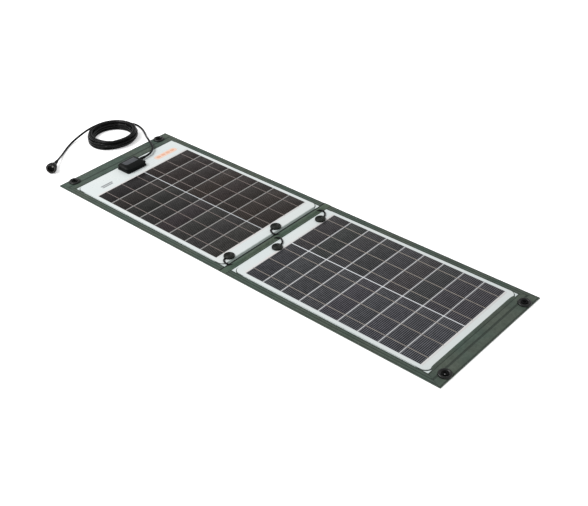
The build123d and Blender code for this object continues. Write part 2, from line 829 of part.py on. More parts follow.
def save_spine():
    save("spine_base_fabric", spine_base_fabric())
    save("spine_cover", spine_cover())
    save("near_link_wire", link_wire(0))
    save("far_link_wire", link_wire(1))


def save_junction_box():
    save("box_adhesive_pad", adhesive_pad())
    save("box_base", box_base())
    save("box_gasket", box_gasket())
    save("box_lid", box_lid())
    save("terminal_block", terminal_block())
    save("terminal_clamps", [clamp(sign * RISER_Y) for sign in (-1, 1)])
    save("blocking_diode", blocking_diode())
    save("cable_cores", cable_cores())
    save("cable_relief", cable_relief())


def save_lead():
    save("cable_box_tail", cord("cable_box_tail", BOX_TAIL))
    save("cable_coil", coil())
    save("cable_socket_tail", cord("cable_socket_tail", socket_route()))
    save("socket_boot", socket_boot())
    save("socket_shell", socket_shell())
    save("socket_liner", socket_liner())
    save("socket_insulator", socket_insulator())
    save("socket_contact", socket_contact())


def main():
    os.makedirs("parts", exist_ok=True)
    for name, wing in WINGS.items():
        save_wing(name, wing)
    save_spine()
    save_junction_box()
    save_lead()


main()
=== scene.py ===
"""Looks of a folding solar mat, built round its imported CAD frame.

Lengths and heights are in millimetres and become metres as each mesh is made. The camera, the
lights and the route of the lead with its coil are in metres.
"""

import math
import random

import bmesh
import bpy
from mathutils import Matrix, Vector


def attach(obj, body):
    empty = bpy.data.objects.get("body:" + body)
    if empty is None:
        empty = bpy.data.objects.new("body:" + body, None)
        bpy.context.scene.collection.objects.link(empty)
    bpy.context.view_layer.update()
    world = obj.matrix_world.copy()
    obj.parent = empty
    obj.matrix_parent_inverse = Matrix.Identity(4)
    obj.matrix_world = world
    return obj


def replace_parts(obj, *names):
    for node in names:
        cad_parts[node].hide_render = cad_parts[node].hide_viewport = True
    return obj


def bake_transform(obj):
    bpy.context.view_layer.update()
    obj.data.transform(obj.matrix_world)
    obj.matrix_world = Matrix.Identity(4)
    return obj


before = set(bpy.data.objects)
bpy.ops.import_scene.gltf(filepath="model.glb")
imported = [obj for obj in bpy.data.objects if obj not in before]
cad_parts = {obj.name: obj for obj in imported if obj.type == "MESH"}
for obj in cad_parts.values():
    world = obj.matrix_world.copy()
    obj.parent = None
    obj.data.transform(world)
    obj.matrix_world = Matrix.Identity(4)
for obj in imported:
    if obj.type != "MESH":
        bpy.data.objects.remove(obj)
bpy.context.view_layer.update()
MM = 0.001
LATHE_STEPS = 72

# ---- camera and light ------------------------------------------------------------------------
CAMERA_AT = (1.4040, -1.4290, 1.3495)
CAMERA_RIGHT = (0.74314, 0.66825, -0.03429)
CAMERA_UP = (-0.36220, 0.44483, 0.81912)
CAMERA_BACK = (0.56263, -0.59630, 0.57260)
LENS = 60.84
WORLD_STRENGTH = 0.74
FLOOR_GLOW = 0.34
# Area lights, each (place, size in metres, watts): a broad key light, and a small one whose
# reflection draws the bright streaks on the black mouldings and the lead.
LIGHTS = {
    "key_light": ((-1.7, -0.9, 2.3), 1.6, 44.0),
    "small_light": ((-0.9, -1.9, 2.2), 0.35, 16.0),
}

FLOOR_HALF = 30000.0
FLOOR_Z = -0.3

# ---- lead, in metres -------------------------------------------------------------------------
LEAD_DIAMETER = 0.006
BOX_TAIL = [
    (-0.5430, 0.0525, 0.0098),
    (-0.5430, 0.0650, 0.0098),
    (-0.5495, 0.0830, 0.0112),
    (-0.5630, 0.0980, 0.0124),
    (-0.5850, 0.1100, 0.0124),
    (-0.6120, 0.1225, 0.0122),
    (-0.6380, 0.1375, 0.0056),
    (-0.6640, 0.1535, 0.0030),
    (-0.6930, 0.1660, 0.0030),
    (-0.7220, 0.1700, 0.0030),
    (-0.7480, 0.1610, 0.0030),
    (-0.7660, 0.1410, 0.0030),
    (-0.7765, 0.1180, 0.0030),
    (-0.7790, 0.0970, 0.0030),
    (-0.7770, 0.0760, 0.0032),
]
SOCKET_TAIL = [
    (-0.7745, 0.0840, 0.0232),
    (-0.7765, 0.0630, 0.0228),
    (-0.7795, 0.0440, 0.0200),
    (-0.7820, 0.0240, 0.0145),
    (-0.7830, 0.0030, 0.0084),
    (-0.7795, -0.0190, 0.0042),
    (-0.7700, -0.0400, 0.0030),
    (-0.7570, -0.0610, 0.0030),
    (-0.7430, -0.0820, 0.0034),
]
COIL_CENTER = (-0.7093, 0.0750)
COIL_POINTS = 16  # to a turn
COIL_START = math.pi
COIL_CHANGE = (math.radians(285), math.radians(345))  # where each turn moves on to its next place
COIL_JITTER = 0.0003
# Radius and height of each turn, from the outside of the lowest layer.
COIL_TURNS = [
    (0.0686, 0.0030),
    (0.0623, 0.0030),
    (0.0560, 0.0030),
    (0.0560, 0.0097),
    (0.0623, 0.0097),
    (0.0686, 0.0097),
    (0.0686, 0.0164),
    (0.0623, 0.0164),
    (0.0560, 0.0164),
    (0.0595, 0.0231),
    (0.0657, 0.0231),
]

# ---- socket at the end of the lead -----------------------------------------------------------
SOCKET_MOUTH = (-685.8, -160.4, 15.1)
SOCKET_HEADING = math.radians(-55.0)
SOCKET_TILT = math.radians(5.0)
SOCKET_LENGTH = 24.0
BOOT_LENGTH = 28.0
# Height and radius of each rib of the boot, from the mouth of the socket.
BOOT_RIBS = ((-48.6, 4.2), (-44.8, 4.5), (-41.0, 4.9), (-37.2, 5.3), (-33.4, 5.9), (-29.6, 6.7))
LAST_RUN = 16.0

# ---- mat -------------------------------------------------------------------------------------
HINGE_X = 2.6
FOLD_LEFT = -8.7
FOLD_RIGHT = 13.9
MAT_HALF = 188.5
HEM_WIDTH = 19.2
WINDOW_HALF = MAT_HALF - HEM_WIDTH
BASE_TOP = 0.8
BOARD_TOP = 1.8
COVER_TOP = 2.6
FILM_TOP = 4.0
STATION_STEP = 12.0  # between the mat's cross lines, away from a fold
FOLD_STEP = 0.75  # and beside it
FOLD_STEPS = 7
LAMINATE_HALF = 168.0
LAMINATE_RADIUS = 16.0
# Dark arcs painted round each rounded corner of a laminate as the shadow in the gap at its edge.
SHADOW_ARC_WIDTH = 2.0
SHADOW_ARC_RUN_ON = 20.0  # how far past a corner's quarter turn the painted shadow arc is drawn, in degrees
SHADOW_ARC_TAIL = 14.0  # and the length of edge that this stands for
CELL_LENGTH = 52.25
CELL_WIDTH = 156.75
CELL_GAP = 2.95
CELL_PITCH = CELL_LENGTH + CELL_GAP
STRING_Y = 79.625
BUSBAR_PITCH = 52.0
BUSBAR_WIDTH = 1.8
ARRAY_HALF = 158.0
ARRAY_MARGIN = 0.6  # of back sheet beyond the cells
MASK_WIDTH = 6.0
RIBBON_RUN_ON = 2.0  # past the cells at each end
# Underside and top of the layers of the array, which show one above the other.
SHEET_LAYER = (3.9, 4.0)
CELL_LAYER = (3.9, 4.03)
RIBBON_LAYER = (3.95, 4.09)
PLATE_RIM = 0.03
PLATE_BEVEL = 0.05
PLATE_POINTS = 12
FINGER_PITCH = 4.7
SLEEVED_RADIUS = 2.2
EYELET_X = 598.0
EYELET_Y = 150.0
EYELET_BARREL = 8.2
EYELET_REACH = 15.0  # a seam this near an eyelet's middle is broken there
EYELET_CLEARANCE = 16.5  # for this far each way
CAP_HEIGHT = 4.6
CAP_SPREAD = 1.045  # the moulding's lip stands a little outside its body

LEFT_LOOP = [
    (0.00, -11.0, 5.9),
    (0.00, -18.5, 5.9),
    (0.28, -25.0, 5.9),
    (0.66, -27.5, 6.0),
    (0.94, -22.5, 4.8),
    (1.00, -14.0, 2.9),
    (1.00, -6.5, 2.9),
]
RIGHT_LOOP = [
    (0.00, 11.0, 5.9),
    (0.03, 19.0, 5.9),
    (0.26, 28.0, 5.9),
    (0.58, 33.5, 6.0),
    (0.88, 31.0, 5.0),
    (1.00, 22.5, 2.9),
    (1.00, 14.5, 2.9),
]
WINGS = {
    "left": {
        "side": -1,
        "body": "left_wing",
        "bodies": ("left_wing", "spine"),
        "outer_x": -614.0,
        "window_x": -565.5,
        "laminate_x": (-561.5, -14.5),
        "cells_x": -487.0,
        "cells": 8,
        "fold": FOLD_LEFT,
        "caps": [(-27.5, -135.0), (-27.5, 26.5)],
        "loop": LEFT_LOOP,
    },
    "right": {
        "side": 1,
        "body": "right_wing",
        "bodies": ("spine", "right_wing"),
        "outer_x": 614.0,
        "window_x": 570.5,
        "laminate_x": (20.5, 567.5),
        "cells_x": 50.0,
        "cells": 9,
        "fold": FOLD_RIGHT,
        "caps": [(36.0, -36.5), (36.0, 121.0)],
        "loop": RIGHT_LOOP,
    },
}

# Distance of the seams from the outer edge of a hem, and from the inner edge of an end flap.
HEM_SEAMS = (2.4, 9.8, 17.0)
FLAP_EDGE_SEAM = 2.4
FLAP_MIDDLE = 0.45  # where the double seam runs, as a share of the flap's width
FLAP_DOUBLE = 2.6  # between the two rows of the double seam
SEAM_HALF_WIDTH = 1.9
SEAM_DEPTH = 0.45
STITCH_LENGTH = 3.2
STITCH_PITCH = 4.4
STITCH_RADIUS = 0.38
STITCH_INSET = 2.0  # from the ends of a seam
STITCH_END = 4.6  # from the middle of the spine

# ---- junction box ----------------------------------------------------------------------------
BOX_X = (-560.5, -510.5)
BOX_Y = (-35.5, 30.5)
BOX_RADII = (9.0, 16.0, 5.0, 6.0)
RELIEF_AT = (-543.0, 30.5, 9.8)
RELIEF_RIBS = 5


# ---- materials -------------------------------------------------------------------------------
def srgb(red, green, blue):
    """A colour given in 0 to 255, as the linear values that a shader takes."""
    linear = []
    for value in (red, green, blue):
        part = value / 255
        linear.append(part / 12.92 if part <= 0.04045 else ((part + 0.055) / 1.055) ** 2.4)
    return (*linear, 1.0)


def add_node(material, kind, inputs=None, **settings):
    """Adds a shader node; its inputs take values or other nodes' outputs."""
    tree = material.node_tree
    node = tree.nodes.new("ShaderNode" + kind)
    for key, value in settings.items():
        setattr(node, key, value)
    for key, value in (inputs or {}).items():
        if isinstance(value, bpy.types.NodeSocket):
            tree.links.new(value, node.inputs[key])
        else:
            node.inputs[key].default_value = value
    return node


def new_material(name, roughness=0.5, specular=0.5, metallic=0.0):
    material = bpy.data.materials.new(name)
    material.use_nodes = True
    shader = material.node_tree.nodes["Principled BSDF"]
    shader.inputs["Roughness"].default_value = roughness
    shader.inputs["Specular IOR Level"].default_value = specular
    shader.inputs["Metallic"].default_value = metallic
    return material


def feed(material, socket, output):
    """Links an output to one of the main shader's inputs."""
    shader = material.node_tree.nodes["Principled BSDF"]
    material.node_tree.links.new(output, shader.inputs[socket])


def mix_colors(material, factor, first, second, mode="MIX"):
    node = add_node(material, "Mix", data_type="RGBA", blend_type=mode)
    tree = material.node_tree
    for index, value in ((0, factor), (6, first), (7, second)):
        if isinstance(value, bpy.types.NodeSocket):
            tree.links.new(value, node.inputs[index])
        else:
            node.inputs[index].default_value = value
    return node.outputs[2]


def math_node(material, operation, first, second=0.0):
    return add_node(material, "Math", {0: first, 1: second}, operation=operation).outputs[0]


def ramp(material, value, low, high, to_low=0.0, to_high=1.0):
    """Maps a value smoothly from one range to another."""
    inputs = {"Value": value, "From Min": low, "From Max": high}
    inputs.update({"To Min": to_low, "To Max": to_high})
    return add_node(material, "MapRange", inputs, interpolation_type="SMOOTHSTEP").outputs[0]


def noise(material, vector, scale, detail=3.0, roughness=0.5):
    inputs = {"Vector": vector, "Scale": scale, "Detail": detail, "Roughness": roughness}
    return add_node(material, "TexNoise", inputs).outputs["Fac"]


def bump(material, height, distance, strength=1.0):
    inputs = {"Height": height, "Distance": distance, "Strength": strength}
    feed(material, "Normal", add_node(material, "Bump", inputs).outputs[0])


def plan_coordinates(material):
    """Position on the fabric or laminate, in metres, which stays put as the piece bends."""
    return add_node(material, "UVMap", uv_map="plan").outputs[0]


def object_coordinates(material):
    return add_node(material, "TexCoord").outputs["Object"]


def weave(material, vector, pitch):
    """Height of a plain weave with the given thread pitch, in metres."""
    scale = math.pi / 10 / pitch
    threads = []
    for direction in ("X", "Y"):
        inputs = {"Vector": vector, "Scale": scale, "Distortion": 0.15}
        wave = add_node(material, "TexWave", inputs, bands_direction=direction)
        threads.append(wave.outputs["Fac"])
    return math_node(material, "MULTIPLY", threads[0], threads[1])


def fabric_material(name, green, brown, seam):
    """Coated woven fabric: mottled, with a fine weave, and painted shade darkening its seam
    grooves.
    """
    material = new_material(name, roughness=0.62, specular=0.18)
    plan = plan_coordinates(material)
    broad = ramp(material, noise(material, plan, 9.0, 2.0), 0.36, 0.64)
    color = mix_colors(material, broad, green, brown)
    fine = ramp(material, noise(material, plan, 160.0, 4.0, 0.7), 0.3, 0.7, 0.86, 1.12)
    creased = ramp(material, noise(material, plan, 38.0, 1.0), 0.35, 0.65, 0.93, 1.08)
    fine = math_node(material, "MULTIPLY", fine, creased)
    speckle = add_node(material, "CombineColor", {0: fine, 1: fine, 2: fine}).outputs[0]
    color = mix_colors(material, 1.0, color, speckle, "MULTIPLY")
    # seam: how much painted shade darkens a seam's groove, towards the third colour.
    dark = add_node(material, "Attribute", attribute_name="seam").outputs["Fac"]
    feed(material, "Base Color", mix_colors(material, dark, color, seam))
    feed(material, "Roughness", ramp(material, noise(material, plan, 60.0), 0.3, 0.7, 0.52, 0.72))
    bump(material, weave(material, plan, 0.0011), 0.00025, 0.5)
    return material


def laminate_material(name, color, shade):
    """Glossy white laminate with faint clouding and a slight ripple."""
    material = new_material(name, roughness=0.3, specular=0.5)
    plan = plan_coordinates(material)
    clouding = ramp(material, noise(material, plan, 7.0, 3.0), 0.3, 0.7)
    feed(material, "Base Color", mix_colors(material, clouding, color, shade))
    feed(material, "Roughness", ramp(material, noise(material, plan, 30.0), 0.3, 0.7, 0.24, 0.36))
    bump(material, noise(material, plan, 45.0, 2.0), 0.0003, 0.25)
    return material


def shaded_gap_material(name, color, middle):
    """The back sheet between the cells, painted greyer as the shade in the narrow gaps: brightest
    along the gap between the two strings.
    """
    material = new_material(name, roughness=0.3, specular=0.4)
    plan = plan_coordinates(material)
    away = math_node(material, "ABSOLUTE", add_node(material, "SeparateXYZ", {0: plan}).outputs[1])
    bright = ramp(material, away, 0.001, 0.003, 1.0, 0.0)
    feed(material, "Base Color", mix_colors(material, bright, color, middle))
    return material


def welt_shade_material():
    """A sealing strip, its grey painted as shade that deepens from the laminate down to the fabric.
    """
    material = new_material("shaded_grey_welt", roughness=0.45, specular=0.3)
    plan = plan_coordinates(material)
    across = add_node(material, "SeparateXYZ", {0: plan}).outputs[0]
    # share: painted shade, deepening from the laminate side down to the fabric.
    share = ramp(material, across, -0.0168, -0.0124)
    # Random patches that deepen the painted shade.
    light_and_wear = ramp(material, noise(material, plan, 80.0), 0.3, 0.7, 0.0, 0.25)
    share = math_node(material, "ADD", share, light_and_wear)
    color = mix_colors(material, share, srgb(190, 197, 195), srgb(116, 126, 122))
    feed(material, "Base Color", color)
    bump(material, noise(material, plan, 200.0), 0.0002, 0.3)
    return material


def cell_material():
    """Dark silicon with printed fingers and a crystal pattern, tinted cell by cell."""
    material = new_material("silicon_cells", roughness=0.3, specular=0.04)
    plan = plan_coordinates(material)
    tint = add_node(material, "Attribute", attribute_name="tint").outputs["Color"]
    crystal = add_node(material, "TexVoronoi", {"Vector": plan, "Scale": 110.0}).outputs["Color"]
    grey = add_node(material, "SeparateColor", {0: crystal}).outputs[0]
    light = math_node(material, "MULTIPLY_ADD", grey, 0.26)
    light.node.inputs[2].default_value = 0.87
    grain = add_node(material, "CombineColor", {0: light, 1: light, 2: light}).outputs[0]
    silicon = mix_colors(material, 1.0, tint, grain, "MULTIPLY")
    across = add_node(material, "UVMap", uv_map="finger").outputs[0]
    along = add_node(material, "SeparateXYZ", {0: across}).outputs[0]
    share = math_node(material, "FRACT", math_node(material, "DIVIDE", along, FINGER_PITCH * MM))
    away = math_node(material, "ABSOLUTE", math_node(material, "SUBTRACT", share, 0.5))
    finger = ramp(material, away, 0.08, 0.16, 1.0, 0.0)
    bare = mix_colors(material, 1.0, silicon, (0.42, 0.42, 0.42, 1.0), "MULTIPLY")
    printed = mix_colors(material, 1.0, silicon, (2.9, 2.9, 2.9, 1.0), "MULTIPLY")
    feed(material, "Base Color", mix_colors(material, finger, bare, printed))
    feed(material, "Roughness", ramp(material, noise(material, plan, 90.0), 0.3, 0.7, 0.24, 0.38))
    return material


def plastic_material(name, color, edge, roughness=0.42, specular=0.4, grain=900.0):
    """Moulded plastic or rubber: fine grain, uneven gloss, and convex edges made paler, partly as
    wear and partly as a painted highlight.
    """
    material = new_material(name, roughness=roughness, specular=specular)
    place = object_coordinates(material)
    mottle = ramp(material, noise(material, place, 55.0, 3.0), 0.3, 0.7)
    pointed = add_node(material, "NewGeometry").outputs["Pointiness"]
    # Paler convex edges: wear, and a painted highlight.
    light_and_wear = ramp(material, pointed, 0.53, 0.62, 0.0, 0.7)
    darker = tuple(0.7 * value for value in color[:3]) + (1.0,)
    body = mix_colors(material, mottle, darker, color)
    feed(material, "Base Color", mix_colors(material, light_and_wear, body, edge))
    uneven = noise(material, place, 120.0)
    gloss = ramp(material, uneven, 0.3, 0.7, roughness - 0.08, roughness + 0.08)
    feed(material, "Roughness", gloss)
    bump(material, noise(material, place, grain, 2.0), 0.00008, 0.35)
    return material


def metal_material(name, color, dull, roughness=0.3):
    """Plated metal with fine tarnish."""
    material = new_material(name, roughness=roughness, metallic=1.0)
    place = object_coordinates(material)
    stain = ramp(material, noise(material, place, 220.0, 4.0), 0.35, 0.7)
    feed(material, "Base Color", mix_colors(material, stain, color, dull))
    uneven = noise(material, place, 90.0)
    rough = ramp(material, uneven, 0.3, 0.7, roughness - 0.08, roughness + 0.12)
    feed(material, "Roughness", rough)
    return material


def ribbon_material():
    """Tinned copper ribbon with patchy tone, its painted reflection bright towards the mat's right
    end and fading towards the left.
    """
    material = new_material("tinned_ribbon", roughness=0.42, specular=0.5)
    plan = plan_coordinates(material)
    along = add_node(material, "SeparateXYZ", {0: plan}).outputs[0]
    # Painted reflection that fades towards the mat's left end.
    reflection_fade = ramp(material, along, -0.2, 0.3, 1.0, 0.0)
    patch = ramp(material, noise(material, plan, 260.0, 2.0), 0.35, 0.65)
    bright = mix_colors(material, patch, srgb(150, 142, 132), srgb(132, 124, 116))
    feed(material, "Base Color", mix_colors(material, reflection_fade, bright, srgb(112, 100, 96)))
    return material


def ink_material(name, color):
    """Printed ink that is a little thin in places."""
    material = new_material(name, roughness=0.4, specular=0.4)
    plan = plan_coordinates(material)
    thin = ramp(material, noise(material, plan, 300.0, 3.0), 0.4, 0.75, 0.0, 0.25)
    feed(material, "Base Color", mix_colors(material, thin, color, srgb(200, 204, 203)))
    return material


def floor_material():
    material = new_material("studio_floor", roughness=0.9, specular=0.1)
    place = object_coordinates(material)
    faint = ramp(material, noise(material, place, 2.0, 2.0), 0.2, 0.8)
    pale, paler = (0.91, 0.91, 0.91, 1.0), (0.92, 0.92, 0.92, 1.0)
    feed(material, "Base Color", mix_colors(material, faint, pale, paler))
    shader = material.node_tree.nodes["Principled BSDF"]
    shader.inputs["Emission Color"].default_value = (1.0, 1.0, 1.0, 1.0)
    shader.inputs["Emission Strength"].default_value = FLOOR_GLOW
    return material


# Materials by the key that the pieces use. Each row has the name, the colours in 0 to 255, and then
# any other numbers that the function takes.
FABRICS = {
    # The third colour of each fabric is the painted shade in its seam grooves; the sleeve's,
    # darker, is painted shadow.
    "fabric": ("coated_fabric", (66, 80, 72), (74, 82, 73), (36, 43, 39)),
    "sleeve": ("sleeve_fabric", (66, 84, 72), (72, 84, 71), (18, 23, 22)),
}
LAMINATES = {
    "board": ("white_board", (203, 210, 209), (196, 205, 204)),
    "laminate": ("white_laminate", (206, 211, 210), (201, 208, 208)),
    "mask": ("masking_strip", (201, 203, 202), (203, 199, 198)),
}
SHADED_GAPS = {
    # Painted shade: the back sheet between the cells, greyer on the left wing than on the right;
    # the second colour is the gap between the strings.
    "left_gaps": ("left_gaps", (141, 140, 138), (182, 185, 188)),
    "right_gaps": ("right_gaps", (178, 179, 181), (210, 213, 216)),
}
PLASTICS = {
    # The second colour is that of convex edges, paler as wear and as a painted highlight.
    "thread": ("sewing_thread", (52, 62, 56), (70, 80, 74), 0.7, 0.2),
    # A dark line painted as the shadow in the gap round the laminates' corners.
    "bead": ("edge_bead", (34, 42, 40), (70, 78, 74), 0.5, 0.2),
    "black": ("black_moulding", (9, 10, 10), (42, 44, 44), 0.3, 0.16),
    "eyelet": ("eyelet_ring", (16, 18, 17), (64, 68, 66), 0.3, 0.3),
    # The eyelet's barrel, painted near black as the shade inside its bore.
    "barrel": ("eyelet_barrel", (4, 5, 5), (16, 17, 17), 0.5, 0.06),
    "cap": ("cap_moulding", (24, 28, 23), (58, 62, 56), 0.34, 0.16),
    "box": ("box_moulding", (5, 9, 8), (30, 34, 34), 0.36, 0.1),
    "panel": ("lid_panel", (70, 73, 77), (100, 103, 108), 0.4, 0.24),
    "rubber": ("lead_rubber", (2, 2, 2), (8, 8, 7), 0.17, 0.14, 500.0),
    "wire": ("wire_rubber", (7, 8, 8), (28, 30, 28), 0.38, 0.14),
    "foam": ("closed_foam", (30, 30, 30), (60, 60, 60), 0.9, 0.1, 400.0),
}
METALS = {
    "copper": ("core_copper", (190, 120, 80), (150, 92, 62)),
    "brass": ("brass_plate", (200, 170, 100), (160, 132, 80)),
    "nickel": ("nickel_plate", (128, 126, 122), (96, 94, 90), 0.36),
}
INKS = {
    "orange": ("orange_ink", (216, 160, 130)),
    "pale_orange": ("pale_orange_ink", (222, 190, 172)),
    "grey_ink": ("grey_ink", (128, 131, 134)),
}
MAKERS = (
    (fabric_material, FABRICS),
    (laminate_material, LAMINATES),
    (shaded_gap_material, SHADED_GAPS),
    (plastic_material, PLASTICS),
    (metal_material, METALS),
    (ink_material, INKS),
)


def make_materials():
    found = {
        "welt": welt_shade_material(),
        "cells": cell_material(),
        "ribbon": ribbon_material(),
        "floor": floor_material(),
    }
    for maker, table in MAKERS:
        for key, (name, *values) in table.items():
            values = [srgb(*value) if isinstance(value, tuple) else value for value in values]
            found[key] = maker(name, *values)
    return found


# ---- mesh helpers ----------------------------------------------------------------------------
def link_object(name, data):
    piece = bpy.data.objects.new(name, data)
    bpy.context.scene.collection.objects.link(piece)
    return piece


def mesh_piece(name, points, faces, material, crease=40.0):
    """A smooth-shaded mesh from points in millimetres, sharp where faces turn past crease."""
    mesh = bpy.data.meshes.new(name)
    mesh.from_pydata([tuple(MM * value for value in point) for point in points], [], faces)
    mesh.update()
    mesh.materials.append(material)
    mesh.polygons.foreach_set("use_smooth", [True] * len(mesh.polygons))
    mesh.set_sharp_from_angle(angle=math.radians(crease))
    return link_object(name, mesh)


def add_plan(piece):
    """Stores each corner's place in plan, in metres, as a UV map."""
    mesh = piece.data
    layer = mesh.uv_layers.new(name="plan")
    for loop in mesh.loops:
        place = mesh.vertices[loop.vertex_index].co
        layer.data[loop.index].uv = (place.x, place.y)
    return piece


def add_values(piece, name, values):
    """Stores one number for each point."""
    attribute = piece.data.attributes.new(name, "FLOAT", "POINT")
    attribute.data.foreach_set("value", values)


def bridge(start, count):
    """Quads between a ring of points and the next ring."""
    faces = []
    for index in range(count):
        after = (index + 1) % count
        faces.append((start + index, start + after, start + count + after, start + count + index))
    return faces


def ring_stack(name, rings, material):
    """A closed form through rings with equal numbers of points, capped at both ends."""
    count = len(rings[0])
    points = [point for ring in rings for point in ring]
    faces = [tuple(reversed(range(count)))]
    for index in range(len(rings) - 1):
        faces += bridge(index * count, count)
    faces.append(tuple(range(len(points) - count, len(points))))
    return mesh_piece(name, points, faces, material)


def turned_points(profile, steps):
    """A (radius, height) outline carried round the Z axis in equal steps."""
    points = []
    for step in range(steps):
        angle = 2 * math.pi * step / steps
        points += [(r * math.cos(angle), r * math.sin(angle), z) for r, z in profile]
    return points


def lathe(name, profile, material):
    """A turned ring about the Z axis, from a closed (radius, height) outline."""
    count = len(profile)
    points = turned_points(profile, LATHE_STEPS)
    faces = []
    for step in range(LATHE_STEPS):
        here, there = step * count, (step + 1) % LATHE_STEPS * count
        for index in range(count):
            after = (index + 1) % count
            faces.append((here + index, there + index, there + after, here + after))
    return mesh_piece(name, points, faces, material)


def lathe_solid(name, profile, material, steps=LATHE_STEPS):
    """A turned solid: the outline runs from the axis at the bottom round to the axis at the top."""
    inside = profile[1:-1]
    count = len(inside)
    points = turned_points(inside, steps)
    points += [(0, 0, profile[0][1]), (0, 0, profile[-1][1])]
    bottom, top = len(points) - 2, len(points) - 1
    faces = []
    for step in range(steps):
        here, there = step * count, (step + 1) % steps * count
        faces.append((bottom, there, here))
        faces.append((top, here + count - 1, there + count - 1))
        for index in range(count - 1):
            faces.append((here + index, there + index, there + index + 1, here + index + 1))
    return mesh_piece(name, points, faces, material)


def rounded_ring(x, y, radii, z, steps=10):
    """Points round a rectangle with rounded corners; radii start at low x, low y and go round."""
    corners = (
        (x[0] + radii[0], y[0] + radii[0], radii[0], 180),
        (x[1] - radii[1], y[0] + radii[1], radii[1], 270),
        (x[1] - radii[2], y[1] - radii[2], radii[2], 0),
        (x[0] + radii[3], y[1] - radii[3], radii[3], 90),
    )
    points = []
    for center_x, center_y, radius, start in corners:
        for step in range(steps + 1):
            angle = math.radians(start + 90 * step / steps)
            out_x, out_y = radius * math.cos(angle), radius * math.sin(angle)
            points.append((center_x + out_x, center_y + out_y, z))
    return points


def rounded_stack(name, x, y, radii, sections, material):
    """A form with rounded corners through (inset, height) sections."""
    rings = []
    for inset, z in sections:
        inner = [max(radius - inset, 0.4) for radius in radii]
        inner_x, inner_y = ((low + inset, high - inset) for low, high in (x, y))
        rings.append(rounded_ring(inner_x, inner_y, inner, z))
    return ring_stack(name, rings, material)


def grid_faces(rows, columns, start, flip=False):
    faces = []
    for row in range(rows - 1):
        for column in range(columns - 1):
            corner = start + row * columns + column
            face = (corner, corner + 1, corner + columns + 1, corner + columns)
            faces.append(tuple(reversed(face)) if flip else face)
    return faces


def border_indices(rows, columns):
    """Indices round the edge of a grid, in order."""
    bottom = list(range(columns - 1))
    right = [row * columns + columns - 1 for row in range(rows - 1)]
    top = [(rows - 1) * columns + column for column in range(columns - 1, 0, -1)]
    left = [row * columns for row in range(rows - 1, 0, -1)]
    return bottom + right + top + left


def thick_grid(name, tops, bottoms, rows, columns, material):
    """A closed sheet from a grid of points for its top and one for its underside."""
    count = rows * columns
    faces = grid_faces(rows, columns, 0) + grid_faces(rows, columns, count, flip=True)
    rim = border_indices(rows, columns)
    for here, there in zip(rim, rim[1:] + rim[:1]):
        faces.append((there, here, count + here, count + there))
    return mesh_piece(name, tops + bottoms, faces, material, crease=50.0)


# ---- camera, light and floor -----------------------------------------------------------------
def make_camera():
    data = bpy.data.cameras.new("camera")
    data.lens = LENS
    data.sensor_width = 36.0
    data.clip_start = 0.05
    data.clip_end = 50.0
    camera = link_object("camera", data)
    turn = Matrix((CAMERA_RIGHT, CAMERA_UP, CAMERA_BACK)).transposed().to_4x4()
    camera.matrix_world = Matrix.Translation(CAMERA_AT) @ turn
    bpy.context.scene.camera = camera


def make_light():
    scene = bpy.context.scene
    scene.view_settings.view_transform = "Standard"
    world = bpy.data.worlds.new("studio")
    world.use_nodes = True
    background = world.node_tree.nodes["Background"]
    background.inputs["Color"].default_value = (1.0, 1.0, 1.0, 1.0)
    background.inputs["Strength"].default_value = WORLD_STRENGTH
    scene.world = world
    for name, (place, size, power) in LIGHTS.items():
        data = bpy.data.lights.new(name, "AREA")
        data.size = size
        data.energy = power
        light = link_object(name, data)
        light.location = place
        light.rotation_euler = (-Vector(place)).to_track_quat("-Z", "Y").to_euler()


def make_floor(materials):
    corners = ((-1, -1), (1, -1), (1, 1), (-1, 1))
    points = [(x * FLOOR_HALF, y * FLOOR_HALF, FLOOR_Z) for x, y in corners]
    mesh_piece("floor", points, [(0, 1, 2, 3)], materials["floor"])


# ---- lead ------------------------------------------------------------------------------------
def nurbs_curve(name, points, radius, material, bevel_steps=5):
    """A round cord along a smooth curve with these control points, in metres."""
    data = bpy.data.curves.new(name, "CURVE")
    data.dimensions = "3D"
    data.resolution_u = 8
    data.bevel_depth = radius
    data.bevel_resolution = bevel_steps
    data.use_fill_caps = True
    spline = data.splines.new("NURBS")
    spline.points.add(len(points) - 1)
    for control, point in zip(spline.points, points):
        control.co = (*point, 1.0)
    spline.order_u = 3
    spline.use_endpoint_u = True
    data.materials.append(material)
    return link_object(name, data)


def socket_out():
    """Which way the socket's mouth faces."""
    flat = math.cos(SOCKET_TILT)
    across = (math.cos(SOCKET_HEADING) * flat, math.sin(SOCKET_HEADING) * flat)
    return Vector((*across, math.sin(SOCKET_TILT)))


def smoothstep(value, low, high):
    share = min(1.0, max(0.0, (value - low) / (high - low)))
    return share * share * (3 - 2 * share)


def coil_points():
    """Control points of the coil: each turn keeps its place but for a short stretch."""
    source = random.Random(7)
    shrink = math.cos(math.pi / COIL_POINTS)
    offsets = [
        [source.uniform(-1, 1) * COIL_JITTER for _ in range(2)] for _ in range(len(COIL_TURNS) + 1)
    ]
    total = COIL_POINTS * len(COIL_TURNS)
    points = []
    for step in range(1, total):
        angle = COIL_START + 2 * math.pi * step / COIL_POINTS
        turn = int(angle // (2 * math.pi))
        moved = smoothstep(angle - 2 * math.pi * turn, *COIL_CHANGE)
        here = COIL_TURNS[min(turn, len(COIL_TURNS) - 1)]
        there = COIL_TURNS[min(turn + 1, len(COIL_TURNS) - 1)]
        radius = here[0] + moved * (there[0] - here[0])
        height = here[1] + moved * (there[1] - here[1])
        shift = offsets[min(turn, len(offsets) - 1)]
        x = COIL_CENTER[0] + shift[0] + radius / shrink * math.cos(angle)
        y = COIL_CENTER[1] + shift[1] + radius / shrink * math.sin(angle)
        points.append((x, y, height))
    return points


